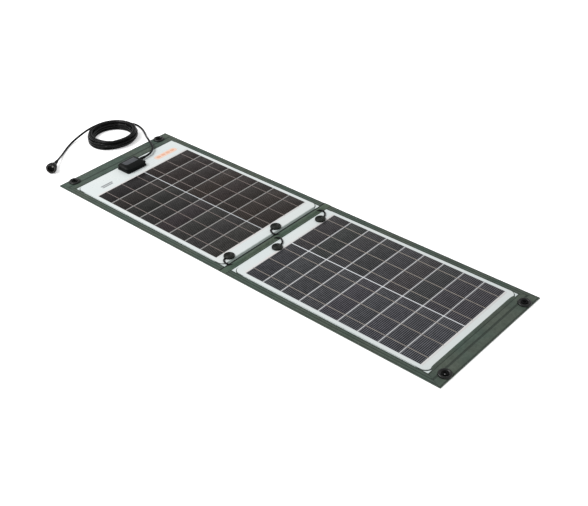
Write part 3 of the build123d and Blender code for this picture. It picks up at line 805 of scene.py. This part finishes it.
def make_lead(materials):
    out = socket_out()
    tip = (Vector(SOCKET_MOUTH) - out * (SOCKET_LENGTH + BOOT_LENGTH)) * MM
    route = BOX_TAIL + coil_points() + SOCKET_TAIL + [tuple(tip - out * LAST_RUN * MM), tuple(tip)]
    lead = nurbs_curve("lead", route, LEAD_DIAMETER / 2, materials["rubber"])
    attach(lead, "left_wing")
    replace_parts(lead, "cable_box_tail", "cable_coil", "cable_socket_tail")
    return lead


# ---- fabric ----------------------------------------------------------------------------------
def seam_share(distance, seams):
    """1 in the middle of a seam, falling to 0 at its sides."""
    nearest = min(abs(distance - seam) for seam in seams)
    return max(0.0, 1.0 - nearest / SEAM_HALF_WIDTH)


def seam_stations(width, seams):
    """Distances across a strip at which its grid has lines, closest at the seams and edges."""
    found = {0.0, 0.35, 1.0, width - 1.0, width - 0.35, width}
    for seam in seams:
        found.update(seam + step * SEAM_HALF_WIDTH for step in (-1.0, -0.5, 0.0, 0.5, 1.0))
    step = 4.0
    found.update(step * index for index in range(1, int(width / step)))
    kept = []
    for value in sorted(found):
        if 0 <= value <= width and (not kept or value - kept[-1] > 0.2):
            kept.append(value)
    kept[-1] = width
    return kept


def fold_stations(start, end, fold):
    """Places along X, from the outer end to the middle of the spine, closest at the fold."""
    side = 1 if end > start else -1
    found = {start, end}
    count = int(abs(end - start) / STATION_STEP)
    found.update(start + side * STATION_STEP * index for index in range(1, count))
    found.update(fold + FOLD_STEP * index for index in range(-FOLD_STEPS, FOLD_STEPS + 1))
    low, high = min(start, end), max(start, end)
    inside = sorted(value for value in found if low <= value <= high)
    kept = inside[:1]
    kept += [value for before, value in zip(inside, inside[1:]) if value - before > 0.3]
    return kept if side > 0 else list(reversed(kept))


def ripple(x, y):
    """Slight unevenness of fabric that lies on the floor."""
    broad = 0.22 * math.sin(x / 37.0 + 0.8 * math.sin(y / 51.0))
    return broad + 0.16 * math.sin(y / 23.0 + x / 61.0)


def edge_drop(distance, width):
    """How far the top falls away at the two edges of a strip."""
    nearest = min(distance, width - distance)
    return 0.5 * (1 - min(1.0, nearest / 1.0)) ** 2


def flap_width(wing):
    return abs(wing["outer_x"] - wing["window_x"])


def flap_seams(wing):
    """Distances of an end flap's seams from its inner edge."""
    width = flap_width(wing)
    middle = FLAP_MIDDLE * width
    return (FLAP_EDGE_SEAM, middle - FLAP_DOUBLE, middle, width - FLAP_EDGE_SEAM)


def strip_piece(name, corners, along, across, seams, width, material, mitre=False):
    """A sewn strip between four corners; along is shares of its length and across distances."""
    tops, bottoms, dark = [], [], []
    a, b, c, d = (Vector(corner) for corner in corners)
    for share in along:
        near, far = a.lerp(b, share), d.lerp(c, share)
        for distance in across:
            place = near.lerp(far, distance / width)
            # seam sets how far the groove sinks and how much painted shade darkens it; a mitred
            # outer end is darkened all along.
            seam = seam_share(distance, seams)
            if mitre and share < along[1] * 0.5:
                seam = 1.0
            z = COVER_TOP - SEAM_DEPTH * seam - edge_drop(distance, width)
            tops.append((place.x, place.y, z + 0.3 * ripple(place.x, place.y)))
            bottoms.append((place.x, place.y, BASE_TOP))
            dark.append(seam)
    piece = thick_grid(name, tops, bottoms, len(along), len(across), material)
    add_values(piece, "seam", dark + [0.0] * len(dark))
    return add_plan(piece)


def bend(piece):
    """Bakes the piece's transform into its points."""
    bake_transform(piece)


def base_sheet(name, wing, materials):
    """The mat's underside, from the outer end to the middle of the spine."""
    stations = fold_stations(wing["outer_x"], HINGE_X, wing["fold"])
    across = [-MAT_HALF, -MAT_HALF + 0.6, *range(-180, 181, 12), MAT_HALF - 0.6, MAT_HALF]
    tops, bottoms = [], []
    for x in stations:
        for y in across:
            edge = 0.25 if abs(y) == MAT_HALF or x == wing["outer_x"] else 0.0
            tops.append((x, y, BASE_TOP - edge))
            bottoms.append((x, y, edge))
    # The left wing's stations run the other way, which turns the faces over.
    first, second = (bottoms, tops) if wing["side"] < 0 else (tops, bottoms)
    size = (len(stations), len(across))
    piece = thick_grid(f"{name}_base_sheet", first, second, *size, materials["fabric"])
    add_plan(piece)
    cut_eyelets(piece, wing)
    bend(piece)
    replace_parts(piece, f"{name}_base_fabric", "spine_base_fabric")


def cut_eyelets(piece, wing):
    """Cuts the holes that the eyelets' barrels pass through."""
    for y in (-EYELET_Y, EYELET_Y):
        profile = [(0, -5), (EYELET_BARREL, -5), (EYELET_BARREL, 10), (0, 10)]
        cutter = lathe_solid("cutter", profile, piece.data.materials[0], steps=40)
        cutter.location = (wing["side"] * EYELET_X * MM, y * MM, 0)
        bpy.context.view_layer.update()
        modifier = piece.modifiers.new("hole", "BOOLEAN")
        modifier.object = cutter
        modifier.operation = "DIFFERENCE"
        modifier.solver = "EXACT"
        apply_modifiers(piece)
        bpy.data.objects.remove(cutter)


def apply_modifiers(piece):
    """Replaces a piece's mesh by its evaluated form."""
    bpy.context.view_layer.update()
    evaluated = piece.evaluated_get(bpy.context.evaluated_depsgraph_get())
    mesh = bpy.data.meshes.new_from_object(evaluated)
    piece.modifiers.clear()
    piece.data = mesh


def shares(values):
    """Places along a line as shares of the way from the first to the last."""
    return [(value - values[0]) / (values[-1] - values[0]) for value in values]


def hem_strip(name, wing, sign, materials):
    """A long side hem, mitred at the outer end."""
    stations = fold_stations(wing["outer_x"], HINGE_X, wing["fold"])
    mitred = [0.0, 0.0022, *shares(stations)[1:]]
    outer, inner = sign * MAT_HALF, sign * WINDOW_HALF
    corners = [
        (wing["outer_x"], outer, 0),
        (HINGE_X, outer, 0),
        (HINGE_X, inner, 0),
        (wing["window_x"], inner, 0),
    ]
    across = seam_stations(HEM_WIDTH, HEM_SEAMS)
    label = "near" if sign < 0 else "far"
    fabric = materials["fabric"]
    piece = strip_piece(
        f"{name}_{label}_hem", corners, mitred, across, HEM_SEAMS, HEM_WIDTH, fabric, mitre=True
    )
    fix_normals(piece)
    bend(piece)


def settle(piece, matrix):
    """Moves a piece's points to their place, so that its object stays at the origin."""
    piece.data.transform(matrix)
    piece.data.update()


def fix_normals(piece):
    """Turns every face outwards."""
    form = bmesh.new()
    form.from_mesh(piece.data)
    bmesh.ops.recalc_face_normals(form, faces=form.faces)
    form.to_mesh(piece.data)
    form.free()
    return piece


def end_flap(name, wing, materials):
    """The wide flap at the free end, with its two eyelet holes."""
    width = flap_width(wing)
    seams = flap_seams(wing)
    corners = [
        (wing["window_x"], -WINDOW_HALF, 0),
        (wing["window_x"], WINDOW_HALF, 0),
        (wing["outer_x"], MAT_HALF, 0),
        (wing["outer_x"], -MAT_HALF, 0),
    ]
    along = [0.0, 0.003] + [index / 48 for index in range(1, 48)] + [0.997, 1.0]
    across = seam_stations(width, seams)
    fabric = materials["fabric"]
    piece = strip_piece(f"{name}_end_flap", corners, along, across, seams, width, fabric)
    fix_normals(piece)
    cut_eyelets(piece, wing)
    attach(piece, wing["body"])
    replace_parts(piece, f"{name}_border_fabric")


def add_stitch(points, faces, start, end, z):
    """A short raised thread between two points of a plan."""
    way = Vector(end) - Vector(start)
    side = Vector((-way.y, way.x)).normalized()
    sides = 6
    base = len(points)
    stations = ((0.0, 0.2), (0.15, 0.8), (0.5, 1.0), (0.85, 0.8), (1.0, 0.2))
    for share, size in stations:
        middle = Vector(start) + way * share
        for step in range(sides):
            angle = 2 * math.pi * step / sides
            offset = side * (STITCH_RADIUS * size * math.cos(angle))
            height = z + STITCH_RADIUS * size * 0.7 * math.sin(angle)
            points.append((middle.x + offset.x, middle.y + offset.y, height))
    faces.append(tuple(range(base, base + sides)))
    for index in range(len(stations) - 1):
        faces += [tuple(reversed(face)) for face in bridge(base + index * sides, sides)]
    last = base + (len(stations) - 1) * sides
    faces.append(tuple(reversed(range(last, last + sides))))


def add_stitch_row(points, faces, start, end, z):
    start, end = Vector(start), Vector(end)
    count = int((end - start).length / STITCH_PITCH)
    step = (end - start) / count
    for index in range(count):
        begin = start + step * (index + 0.14)
        add_stitch(points, faces, begin, begin + step * (STITCH_LENGTH / STITCH_PITCH), z)


def wing_stitches(name, wing, materials):
    """Rows of stitches along both hems and across the end flap."""
    points, faces = [], []
    z = COVER_TOP - 0.75 * SEAM_DEPTH
    side = wing["side"]
    flap = flap_width(wing)
    first, _, middle, last = flap_seams(wing)
    for distance in HEM_SEAMS:
        share = distance / HEM_WIDTH
        start = wing["outer_x"] - side * (share * flap + STITCH_INSET)
        for sign in (-1, 1):
            y = sign * (MAT_HALF - distance)
            add_stitch_row(points, faces, (start, y), (HINGE_X + side * STITCH_END, y), z)
    for distance in (first, middle, last):
        x = wing["window_x"] + side * distance
        half = WINDOW_HALF + HEM_WIDTH * distance / flap - STITCH_INSET
        stretches = [(-half, half)]
        if abs(abs(x) - EYELET_X) < EYELET_REACH:
            near, far = EYELET_Y - EYELET_CLEARANCE, EYELET_Y + EYELET_CLEARANCE
            stretches = [(-half, -far), (-near, near), (far, half)]
        for low, high in stretches:
            if high - low > 2 * STITCH_PITCH:
                add_stitch_row(points, faces, (x, low), (x, high), z)
    piece = mesh_piece(f"{name}_stitches", points, faces, materials["thread"], crease=80.0)
    fix_normals(piece)
    bend(piece)


def spine_profile(over_hem):
    """Across the spine: two flanges and a raised sleeve, as (x, z) from one side to the other."""
    flange = COVER_TOP + 0.5 * over_hem
    half = [(-11.0, flange - 0.6), (-10.7, flange), (-9.9, flange), (-8.4, flange - 0.3)]
    half += [(-7.4, flange), (-6.4, 2.8), (-5.6, 3.3), (-4.6, 3.9), (-3.0, 4.8), (-1.6, 5.35)]
    mirrored = [(-x, z) for x, z in reversed(half)]
    return half + [(0.0, 5.55)] + mirrored


# How dark the strip is at its right edge, and the painted shadow along the seam at the foot of its
# left side, by place across it.
SLEEVE_DARK = {-11.0: 1.0, -10.7: 1.0, -9.9: 1.0, -8.4: 1.0, -7.4: 0.6, 10.7: 0.3, 11.0: 0.6}


def spine_strip(materials):
    """The strip along the spine with the wires' sleeve raised in its middle."""
    low = -MAT_HALF + 0.2
    stations = [low + index * (2 * -low) / 90 for index in range(91)]
    tops, bottoms, dark = [], [], []
    for y in stations:
        over = smoothstep(abs(y), WINDOW_HALF - 3, WINDOW_HALF + 1)
        sway = 0.25 * math.sin(y / 19.0) + 0.15 * math.sin(y / 7.3)
        flat = smoothstep(abs(y), MAT_HALF - 36.0, MAT_HALF - 14.0)
        for x, z in spine_profile(over):
            shift = sway if abs(x) < 4.5 else 0.0
            z = max(z, 3.1 * over) if abs(x) < 7 else z
            z -= flat * max(0.0, z - 3.1) * 0.9
            tops.append((HINGE_X + x + shift, y, z))
            bottoms.append((HINGE_X + x * 0.97 + shift, y, max(z - 0.8, BASE_TOP)))
            # Painted shadow at the foot of the sleeve's left side, and a darker right edge, in the
            # sleeve's seam colour.
            dark.append(SLEEVE_DARK.get(x, 0.0))
    columns = len(spine_profile(0))
    piece = thick_grid("spine_sleeve", tops, bottoms, len(stations), columns, materials["sleeve"])
    fix_normals(piece)
    add_values(piece, "seam", dark + [0.0] * len(dark))
    add_plan(piece)
    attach(piece, "spine")
    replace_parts(piece, "spine_cover")


def make_fabric(materials):
    for name, wing in WINGS.items():
        base_sheet(name, wing, materials)
        for sign in (-1, 1):
            hem_strip(name, wing, sign, materials)
        end_flap(name, wing, materials)
        wing_stitches(name, wing, materials)
    spine_strip(materials)


# ---- laminate --------------------------------------------------------------------------------
def laminate_plate(name, wing, materials):
    """The encapsulated panel, with a softly rounded rim."""
    sections = [(0.3, BOARD_TOP), (0.0, BOARD_TOP + 0.3), (0.0, 3.5)]
    sections += [(0.12, 3.8), (0.4, 3.95), (0.9, 3.98)]
    radii = (LAMINATE_RADIUS,) * 4
    x, y = wing["laminate_x"], (-LAMINATE_HALF, LAMINATE_HALF)
    piece = rounded_stack(f"{name}_laminate", x, y, radii, sections, materials["laminate"])
    add_plan(piece)
    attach(piece, wing["body"])
    layers = ("rear_sheet", "rear_encapsulant", "front_encapsulant", "front_film", "cross_ribbons")
    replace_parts(piece, *[f"{name}_{layer}" for layer in layers])


def shadow_arc_section(turn, x, y):
    """Section of the painted shadow arc at one angle round a corner, tapering away along the
    straight edges.
    """
    radius = LAMINATE_RADIUS
    past = max(0.0, -turn, turn - 90.0) / SHADOW_ARC_RUN_ON
    size = SHADOW_ARC_WIDTH * max(0.05, 1.0 - past)
    angle = math.radians(min(90.0, max(0.0, turn)))
    along = SHADOW_ARC_TAIL * past
    place = Vector((x + radius * math.cos(angle), y + radius * math.sin(angle)))
    place += Vector((0.0, -along) if turn < 0 else (-along, 0.0) if turn > 90 else (0.0, 0.0))
    out = Vector((math.cos(angle), math.sin(angle)))
    points = []
    outline = [(-0.3, BOARD_TOP), (size, BOARD_TOP), (size, 2.2), (0.6 * size, 2.5), (-0.3, 2.5)]
    for reach, height in outline:
        at = place + out * reach
        points.append((at.x, at.y, height))
    return points


def laminate_shadow_arcs(name, wing, materials):
    """A thin dark arc painted as the shadow in the gap where each rounded corner of the laminate
    meets the board.
    """
    low, high = wing["laminate_x"]
    middle, half_length = (low + high) / 2, (high - low) / 2 - LAMINATE_RADIUS
    half_width = LAMINATE_HALF - LAMINATE_RADIUS
    turns = [-SHADOW_ARC_RUN_ON + step * (90.0 + 2 * SHADOW_ARC_RUN_ON) / 24 for step in range(25)]
    for label, side_x, side_y in (("a", 1, 1), ("b", -1, 1), ("c", -1, -1), ("d", 1, -1)):
        rings = []
        for turn in turns:
            section = shadow_arc_section(turn, half_length, half_width)
            rings.append([(middle + side_x * px, side_y * py, pz) for px, py, pz in section])
        piece = ring_stack(f"{name}_shadow_arc_{label}", rings, materials["bead"])
        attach(fix_normals(piece), wing["body"])


def thin_plates(name, areas, z, material):
    """Flat thin plates over plan areas ((x, x), (y, y)), in one piece."""
    points, faces = [], []
    for x, y in areas:
        base = len(points)
        for step, height in ((0.0, z[0]), (0.0, z[1] - PLATE_RIM), (PLATE_BEVEL, z[1])):
            low_x, high_x = x[0] + step, x[1] - step
            low_y, high_y = y[0] + step, y[1] - step
            points += [(low_x, low_y, height), (high_x, low_y, height)]
            points += [(high_x, high_y, height), (low_x, high_y, height)]
        faces.append((base + 3, base + 2, base + 1, base))
        faces += bridge(base, 4) + bridge(base + 4, 4)
        faces.append((base + 8, base + 9, base + 10, base + 11))
    piece = mesh_piece(name, points, faces, material)
    return add_plan(piece)


def cell_areas(wing):
    found = []
    for row in range(wing["cells"]):
        low = wing["cells_x"] + row * CELL_PITCH
        for sign in (-1, 1):
            middle = sign * STRING_Y
            y = (middle - CELL_WIDTH / 2, middle + CELL_WIDTH / 2)
            found.append(((low, low + CELL_LENGTH), y))
    return found


# The cells' colour along the mat, from its far end to its near end, for each string: the change
# from brown to a cold grey is a painted reflection.
FAR_TINTS = ((0.0, (43, 38, 36)), (0.45, (47, 44, 42)), (0.55, (56, 56, 57)), (1.0, (66, 65, 69)))
NEAR_TINTS = ((0.0, (37, 34, 34)), (0.45, (49, 48, 48)), (0.55, (58, 58, 60)), (1.0, (68, 69, 74)))


def cell_tint(source, x, y):
    """A cell's colour: brown at the far end of the mat, through grey to a cold grey as a painted
    reflection, with a little random change of its own.
    """
    share = min(1.0, max(0.0, (x + 520.0) / 1100.0))
    stops = FAR_TINTS if y > 0 else NEAR_TINTS
    for (low, first), (high, second) in zip(stops, stops[1:]):
        if share <= high:
            mixed = (share - low) / (high - low)
            color = [a + mixed * (b - a) for a, b in zip(first, second)]
            break
    change = source.uniform(0.96, 1.04)
    color = [value * change + source.uniform(-1.2, 1.2) for value in color]
    return srgb(*color)


def make_cells(name, wing, materials):
    areas = cell_areas(wing)
    piece = thin_plates(f"{name}_silicon", areas, CELL_LAYER, materials["cells"])
    source = random.Random(31 if name == "left" else 32)
    tints = []
    for x, y in areas:
        tints += [cell_tint(source, sum(x) / 2, sum(y) / 2)] * PLATE_POINTS
    colors = piece.data.attributes.new("tint", "FLOAT_COLOR", "POINT")
    for index, tint in enumerate(tints):
        colors.data[index].color = tint
    layer = piece.data.uv_layers.new(name="finger")
    for loop in piece.data.loops:
        area = areas[loop.vertex_index // PLATE_POINTS]
        place = piece.data.vertices[loop.vertex_index].co
        layer.data[loop.index].uv = (place.x - area[0][0] * MM, place.y - area[1][0] * MM)
    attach(piece, wing["body"])
    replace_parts(piece, f"{name}_cells")


def array_end(wing):
    return wing["cells_x"] + wing["cells"] * CELL_PITCH - CELL_GAP


def make_array_sheet(name, wing, materials):
    """The back sheet that shows between the cells, painted a little greyer than the margins as the
    shade in the gaps.
    """
    half = STRING_Y + CELL_WIDTH / 2 + ARRAY_MARGIN
    x = (wing["cells_x"] - ARRAY_MARGIN, array_end(wing) + ARRAY_MARGIN)
    areas = [(x, (-half, half))]
    piece = thin_plates(f"{name}_array_sheet", areas, SHEET_LAYER, materials[f"{name}_gaps"])
    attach(piece, wing["body"])


def make_busbars(name, wing, materials):
    x = (wing["cells_x"] - RIBBON_RUN_ON, array_end(wing) + RIBBON_RUN_ON)
    areas = []
    for sign in (-1, 1):
        for step in (-1, 0, 1):
            middle = sign * STRING_Y + step * BUSBAR_PITCH
            areas.append((x, (middle - BUSBAR_WIDTH / 2, middle + BUSBAR_WIDTH / 2)))
    piece = thin_plates(f"{name}_ribbons", areas, RIBBON_LAYER, materials["ribbon"])
    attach(piece, wing["body"])
    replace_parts(piece, f"{name}_busbars")


def make_masks(name, wing, materials):
    """Opaque strips beside the cells."""
    low, high = wing["cells_x"], array_end(wing)
    strips = ((low - MASK_WIDTH, low - ARRAY_MARGIN), (high + ARRAY_MARGIN, high + MASK_WIDTH))
    areas = [(x, (-ARRAY_HALF, ARRAY_HALF)) for x in strips]
    piece = thin_plates(f"{name}_masking", areas, SHEET_LAYER, materials["mask"])
    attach(piece, wing["body"])
    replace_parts(piece, f"{name}_mask_strips")


def sloping_strip(name, section, half, shift, material, body):
    """A strip along y with the given section, turning aside by a little at its two ends."""
    stations = ((-half, shift), (-half + 6.0, 0.3 * shift), (-half + 14.0, 0.0))
    stations += tuple((-y, aside) for y, aside in reversed(stations))
    rings = [[(x + aside, y, z) for x, z in section] for y, aside in stations]
    piece = add_plan(fix_normals(ring_stack(name, rings, material)))
    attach(piece, body)


def shaded_grey_welt(materials):
    """A sloping strip between the left laminate and the spine, painted grey as shade."""
    section = [(-17.0, 3.9), (-17.0, 4.03), (-14.5, 4.01), (-13.0, 3.8), (-11.0, 3.3), (-9.0, 2.9)]
    section += [(-9.0, BOARD_TOP), (-14.0, BOARD_TOP)]
    sloping_strip("left_welt", section, 154.0, 1.5, materials["welt"], "left_wing")


def edge_tape(materials):
    """The green tape that runs from the right laminate's outer edge down to the end flap."""
    section = [(572.6, 2.4), (572.6, 2.8), (570.6, 3.1), (568.8, 3.7), (567.4, 4.08), (564.6, 4.06)]
    section += [(564.6, 3.9), (567.0, 3.8), (568.4, 2.4)]
    sloping_strip("right_edge_tape", section, 156.0, 2.6, materials["fabric"], "right_wing")


def rounded_bars(name, bars, z, material):
    """Small printed bars with round corners, each (x range, y range)."""
    points, faces = [], []
    for x, y in bars:
        radius = 0.42 * min(x[1] - x[0], y[1] - y[0])
        ring = rounded_ring(x, y, (radius,) * 4, z, steps=4)
        base, count = len(points), len(ring)
        points += [(px, py, z - 0.08) for px, py, _ in ring] + ring
        faces.append(tuple(reversed(range(base, base + count))))
        faces += bridge(base, count)
        faces.append(tuple(range(base + count, base + 2 * count)))
    piece = add_plan(mesh_piece(name, points, faces, material))
    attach(piece, "left_wing")


def make_marks(materials):
    """Two plain printed marks beside the cells: a coloured bar and two grey rules."""
    bars = [((-529.0, -509.0), (67.0, 144.0))]
    rounded_bars("pale_bar", bars, 4.04, materials["pale_orange"])
    bars = [((-524.0, -515.0), (74.0 + 16.5 * index, 87.5 + 16.5 * index)) for index in range(4)]
    rounded_bars("orange_bars", bars, 4.07, materials["orange"])
    rules = [((-520.0, -514.5), (-125.0, -87.0)), ((-512.8, -508.0), (-125.0, -90.0))]
    rounded_bars("grey_rules", rules, 4.02, materials["grey_ink"])


def make_laminates(materials):
    for name, wing in WINGS.items():
        laminate_plate(name, wing, materials)
        laminate_shadow_arcs(name, wing, materials)
        make_array_sheet(name, wing, materials)
        make_cells(name, wing, materials)
        make_busbars(name, wing, materials)
        make_masks(name, wing, materials)
    shaded_grey_welt(materials)
    edge_tape(materials)
    make_marks(materials)


# ---- caps, wires and eyelets -----------------------------------------------------------------
def make_caps(name, wing, materials):
    profile = [(0, 0.0), (12.6, 0.0), (13.0, 0.5), (13.0, 3.0), (12.7, 3.9), (11.9, 4.5)]
    profile += [(11.0, CAP_HEIGHT), (10.2, 4.3), (9.5, 3.1), (8.9, 2.7), (8.2, 2.9), (7.4, 3.6)]
    profile += [(6.6, 3.7), (6.0, 3.1), (5.2, 2.5), (2.4, 2.4), (1.9, 2.9), (0, 3.0)]
    profile = [(CAP_SPREAD * radius, z) for radius, z in profile]
    for label, (x, y) in zip(("near", "far"), wing["caps"]):
        piece = lathe_solid(f"{name}_{label}_cap", profile, materials["cap"])
        settle(piece, Matrix.Translation(Vector((x, y, FILM_TOP)) * MM))
        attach(piece, wing["body"])
        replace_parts(piece, f"{name}_terminal_caps")


def tube_mesh(name, route, radius, material):
    """A round tube along a NURBS route in metres, as a mesh, with the points it follows."""
    curve = nurbs_curve(name + "_route", route, radius, material, bevel_steps=3)
    bpy.context.view_layer.update()
    graph = bpy.context.evaluated_depsgraph_get()
    mesh = bpy.data.meshes.new_from_object(curve.evaluated_get(graph))
    curve.data.bevel_depth = 0.0
    bpy.context.view_layer.update()
    graph = bpy.context.evaluated_depsgraph_get()
    line = bpy.data.meshes.new_from_object(curve.evaluated_get(graph))
    path = [tuple(vertex.co) for vertex in line.vertices]
    bpy.data.meshes.remove(line)
    bpy.data.objects.remove(curve)
    mesh.polygons.foreach_set("use_smooth", [True] * len(mesh.polygons))
    return link_object(name, mesh), path


def make_wires(name, wing, materials):
    loop, radius = wing["loop"], SLEEVED_RADIUS * MM
    for label, (x, y) in zip(("near", "far"), wing["caps"]):
        way = HINGE_X - x
        route = [((x + share * way) * MM, (y + along) * MM, z * MM) for share, along, z in loop]
        piece, path = tube_mesh(f"{name}_{label}_wire", route, radius, materials["wire"])
        bend(piece)
        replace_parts(piece, f"{label}_wire_loop_{name}")


def make_eyelets(name, wing, materials):
    """Each eyelet is a grooved ring round a raised barrel with a straight bore; the barrel is
    painted near black as the shade inside the bore.
    """
    ring = [(8.0, 0.1), (8.0, 2.6), (15.0, 2.6), (15.5, 3.0), (15.5, 4.2), (15.2, 5.4), (14.3, 6.4)]
    ring += [(13.2, 6.9), (12.2, 7.0), (11.2, 6.7), (10.4, 5.9), (9.6, 5.3), (9.0, 5.2), (8.0, 5.2)]
    barrel = [(3.8, 0.1), (8.0, 0.1), (8.1, 5.4), (8.0, 6.5), (7.6, 6.9), (6.8, 7.0), (5.6, 6.8)]
    barrel += [(4.8, 6.6), (4.2, 6.4), (3.8, 6.0)]
    for label, y in (("near", -EYELET_Y), ("far", EYELET_Y)):
        parts = (("eyelet", ring, "eyelet"), ("eyelet_barrel", barrel, "barrel"))
        for part, profile, key in parts:
            piece = fix_normals(lathe(f"{name}_{label}_{part}", profile, materials[key]))
            settle(piece, Matrix.Translation(Vector((wing["side"] * EYELET_X, y, 0)) * MM))
            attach(piece, wing["body"])
            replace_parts(piece, f"{name}_eyelets")


def make_fittings(materials):
    for name, wing in WINGS.items():
        make_caps(name, wing, materials)
        make_wires(name, wing, materials)
        make_eyelets(name, wing, materials)


# ---- junction box ----------------------------------------------------------------------------
def box_form(name, sections, material):
    """A form through (inset at low X, at high X, along Y, height) sections of the box."""
    rings = []
    for low, high, along, z in sections:
        x = (BOX_X[0] + low, BOX_X[1] - high)
        y = (BOX_Y[0] + along, BOX_Y[1] - along)
        radii = [max(0.8, radius - min(low, high, along)) for radius in BOX_RADII]
        rings.append(rounded_ring(x, y, radii, z))
    piece = ring_stack(name, rings, material)
    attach(fix_normals(piece), "left_wing")
    return piece


def evenly(sections):
    """Sections with the same inset all round."""
    return [(inset, inset, inset, z) for inset, z in sections]


def make_box(materials):
    base = [(0.3, 4.8), (0.0, 5.1), (0.0, 7.0), (0.4, 7.5), (1.8, 7.9), (2.2, 13.2), (1.6, 13.6)]
    base += [(1.6, 14.2)]
    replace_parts(box_form("box_body", evenly(base), materials["box"]), "box_base")
    gasket = [(2.1, 14.15), (1.9, 14.3), (1.9, 14.5), (2.1, 14.65)]
    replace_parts(box_form("box_seal", evenly(gasket), materials["rubber"]), "box_gasket")
    lid = [(0.9, 0.9, 0.9, 14.6), (0.6, 0.6, 0.6, 14.8), (0.6, 0.8, 0.6, 15.6)]
    lid += [(1.0, 2.0, 1.2, 16.3), (4.0, 17.0, 6.0, 18.9), (4.8, 18.6, 7.0, 19.3)]
    lid += [(5.6, 19.6, 7.8, 19.4)]
    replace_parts(box_form("box_cover", lid, materials["box"]), "box_lid")
    panel = [(9.0, 21.0, 12.0, 19.35), (9.0, 21.0, 12.0, 19.6), (9.4, 21.4, 12.4, 19.7)]
    box_form("box_panel", panel, materials["panel"])


def make_relief(materials):
    """A ribbed, tapered sleeve where the lead leaves the box."""
    profile = [(0, -1.0), (5.2, -1.0), (5.2, 1.0), (4.4, 1.4)]
    for index in range(RELIEF_RIBS):
        z = 2.6 + index * 3.7
        thick = 4.5 - 0.16 * index
        profile += [(thick - 0.7, z - 1.1), (thick, z - 0.7)]
        profile += [(thick, z + 0.8), (thick - 0.7, z + 1.2)]
    profile += [(3.6, 21.2), (3.3, 22.0), (0, 22.0)]
    piece = lathe_solid("lead_relief", profile, materials["rubber"], steps=40)
    turn = Matrix.Rotation(-math.pi / 2, 4, "X")
    settle(piece, Matrix.Translation(Vector(RELIEF_AT) * MM) @ turn)
    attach(piece, "left_wing")
    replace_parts(piece, "cable_relief")
    return piece


# ---- socket ----------------------------------------------------------------------------------
def place_on_socket(piece):
    turn = socket_out().to_track_quat("Z", "Y").to_matrix().to_4x4()
    settle(piece, Matrix.Translation(Vector(SOCKET_MOUTH) * MM) @ turn)
    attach(fix_normals(piece), "left_wing")
    return piece


def shell_piece(materials):
    profile = [(11.1, -17.0), (0.05, -17.0), (0.05, -23.9), (7.6, -23.9), (8.6, -23.4)]
    profile += [(9.3, -22.2), (11.6, -17.2), (12.3, -15.4)]
    for index in range(3):
        z = -13.9 + index * 2.2
        profile += [(12.5, z - 0.7), (12.0, z - 0.4), (12.0, z + 0.3), (12.5, z + 0.6)]
    profile += [(12.8, -8.4), (13.9, -7.6), (14.4, -6.8), (14.5, -6.0), (14.5, -1.2)]
    profile += [(14.3, -0.5), (13.8, -0.1), (13.2, 0.0), (11.9, 0.0), (11.3, -0.2), (11.1, -0.6)]
    piece = place_on_socket(lathe("socket_body", profile, materials["black"]))
    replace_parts(piece, "socket_shell")
    return piece


def boot_piece(materials):
    profile = [(0, -51.9), (3.4, -51.9), (3.7, -51.2)]
    for z, thick in BOOT_RIBS:
        profile += [(thick - 0.7, z - 1.3), (thick, z - 0.9)]
        profile += [(thick, z + 0.9), (thick - 0.6, z + 1.3)]
    profile += [(6.8, -27.2), (7.8, -25.8), (8.0, -24.4), (0, -24.0)]
    piece = place_on_socket(lathe_solid("lead_boot", profile, materials["rubber"], steps=48))
    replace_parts(piece, "socket_boot")
    return piece


# ---- CAD nodes that stay ---------------------------------------------------------------------
KEPT = {
    "board": ("left_backing_board", "right_backing_board"),
    "brass": ("left_terminal_studs", "right_terminal_studs", "terminal_clamps"),
    "black": ("left_eyelet_washers", "right_eyelet_washers", "terminal_block", "socket_insulator"),
    "foam": ("box_adhesive_pad",),
    "rubber": ("blocking_diode",),
    "wire": ("near_link_wire", "far_link_wire"),
    "copper": ("cable_cores",),
    "nickel": ("socket_liner", "socket_contact"),
}


def dress_nodes(materials):
    """Gives the CAD nodes that stay their materials."""
    for key, nodes in KEPT.items():
        for node in nodes:
            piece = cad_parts[node]
            if not piece.material_slots:
                piece.data.materials.append(materials[key])
            for place in piece.material_slots:
                place.material = materials[key]


def main():
    materials = make_materials()
    make_camera()
    lead = make_lead(materials)
    make_light()
    make_floor(materials)
    make_fabric(materials)
    make_laminates(materials)
    make_fittings(materials)
    make_box(materials)
    relief = make_relief(materials)
    socket = [shell_piece(materials), boot_piece(materials)]
    dress_nodes(materials)


main()
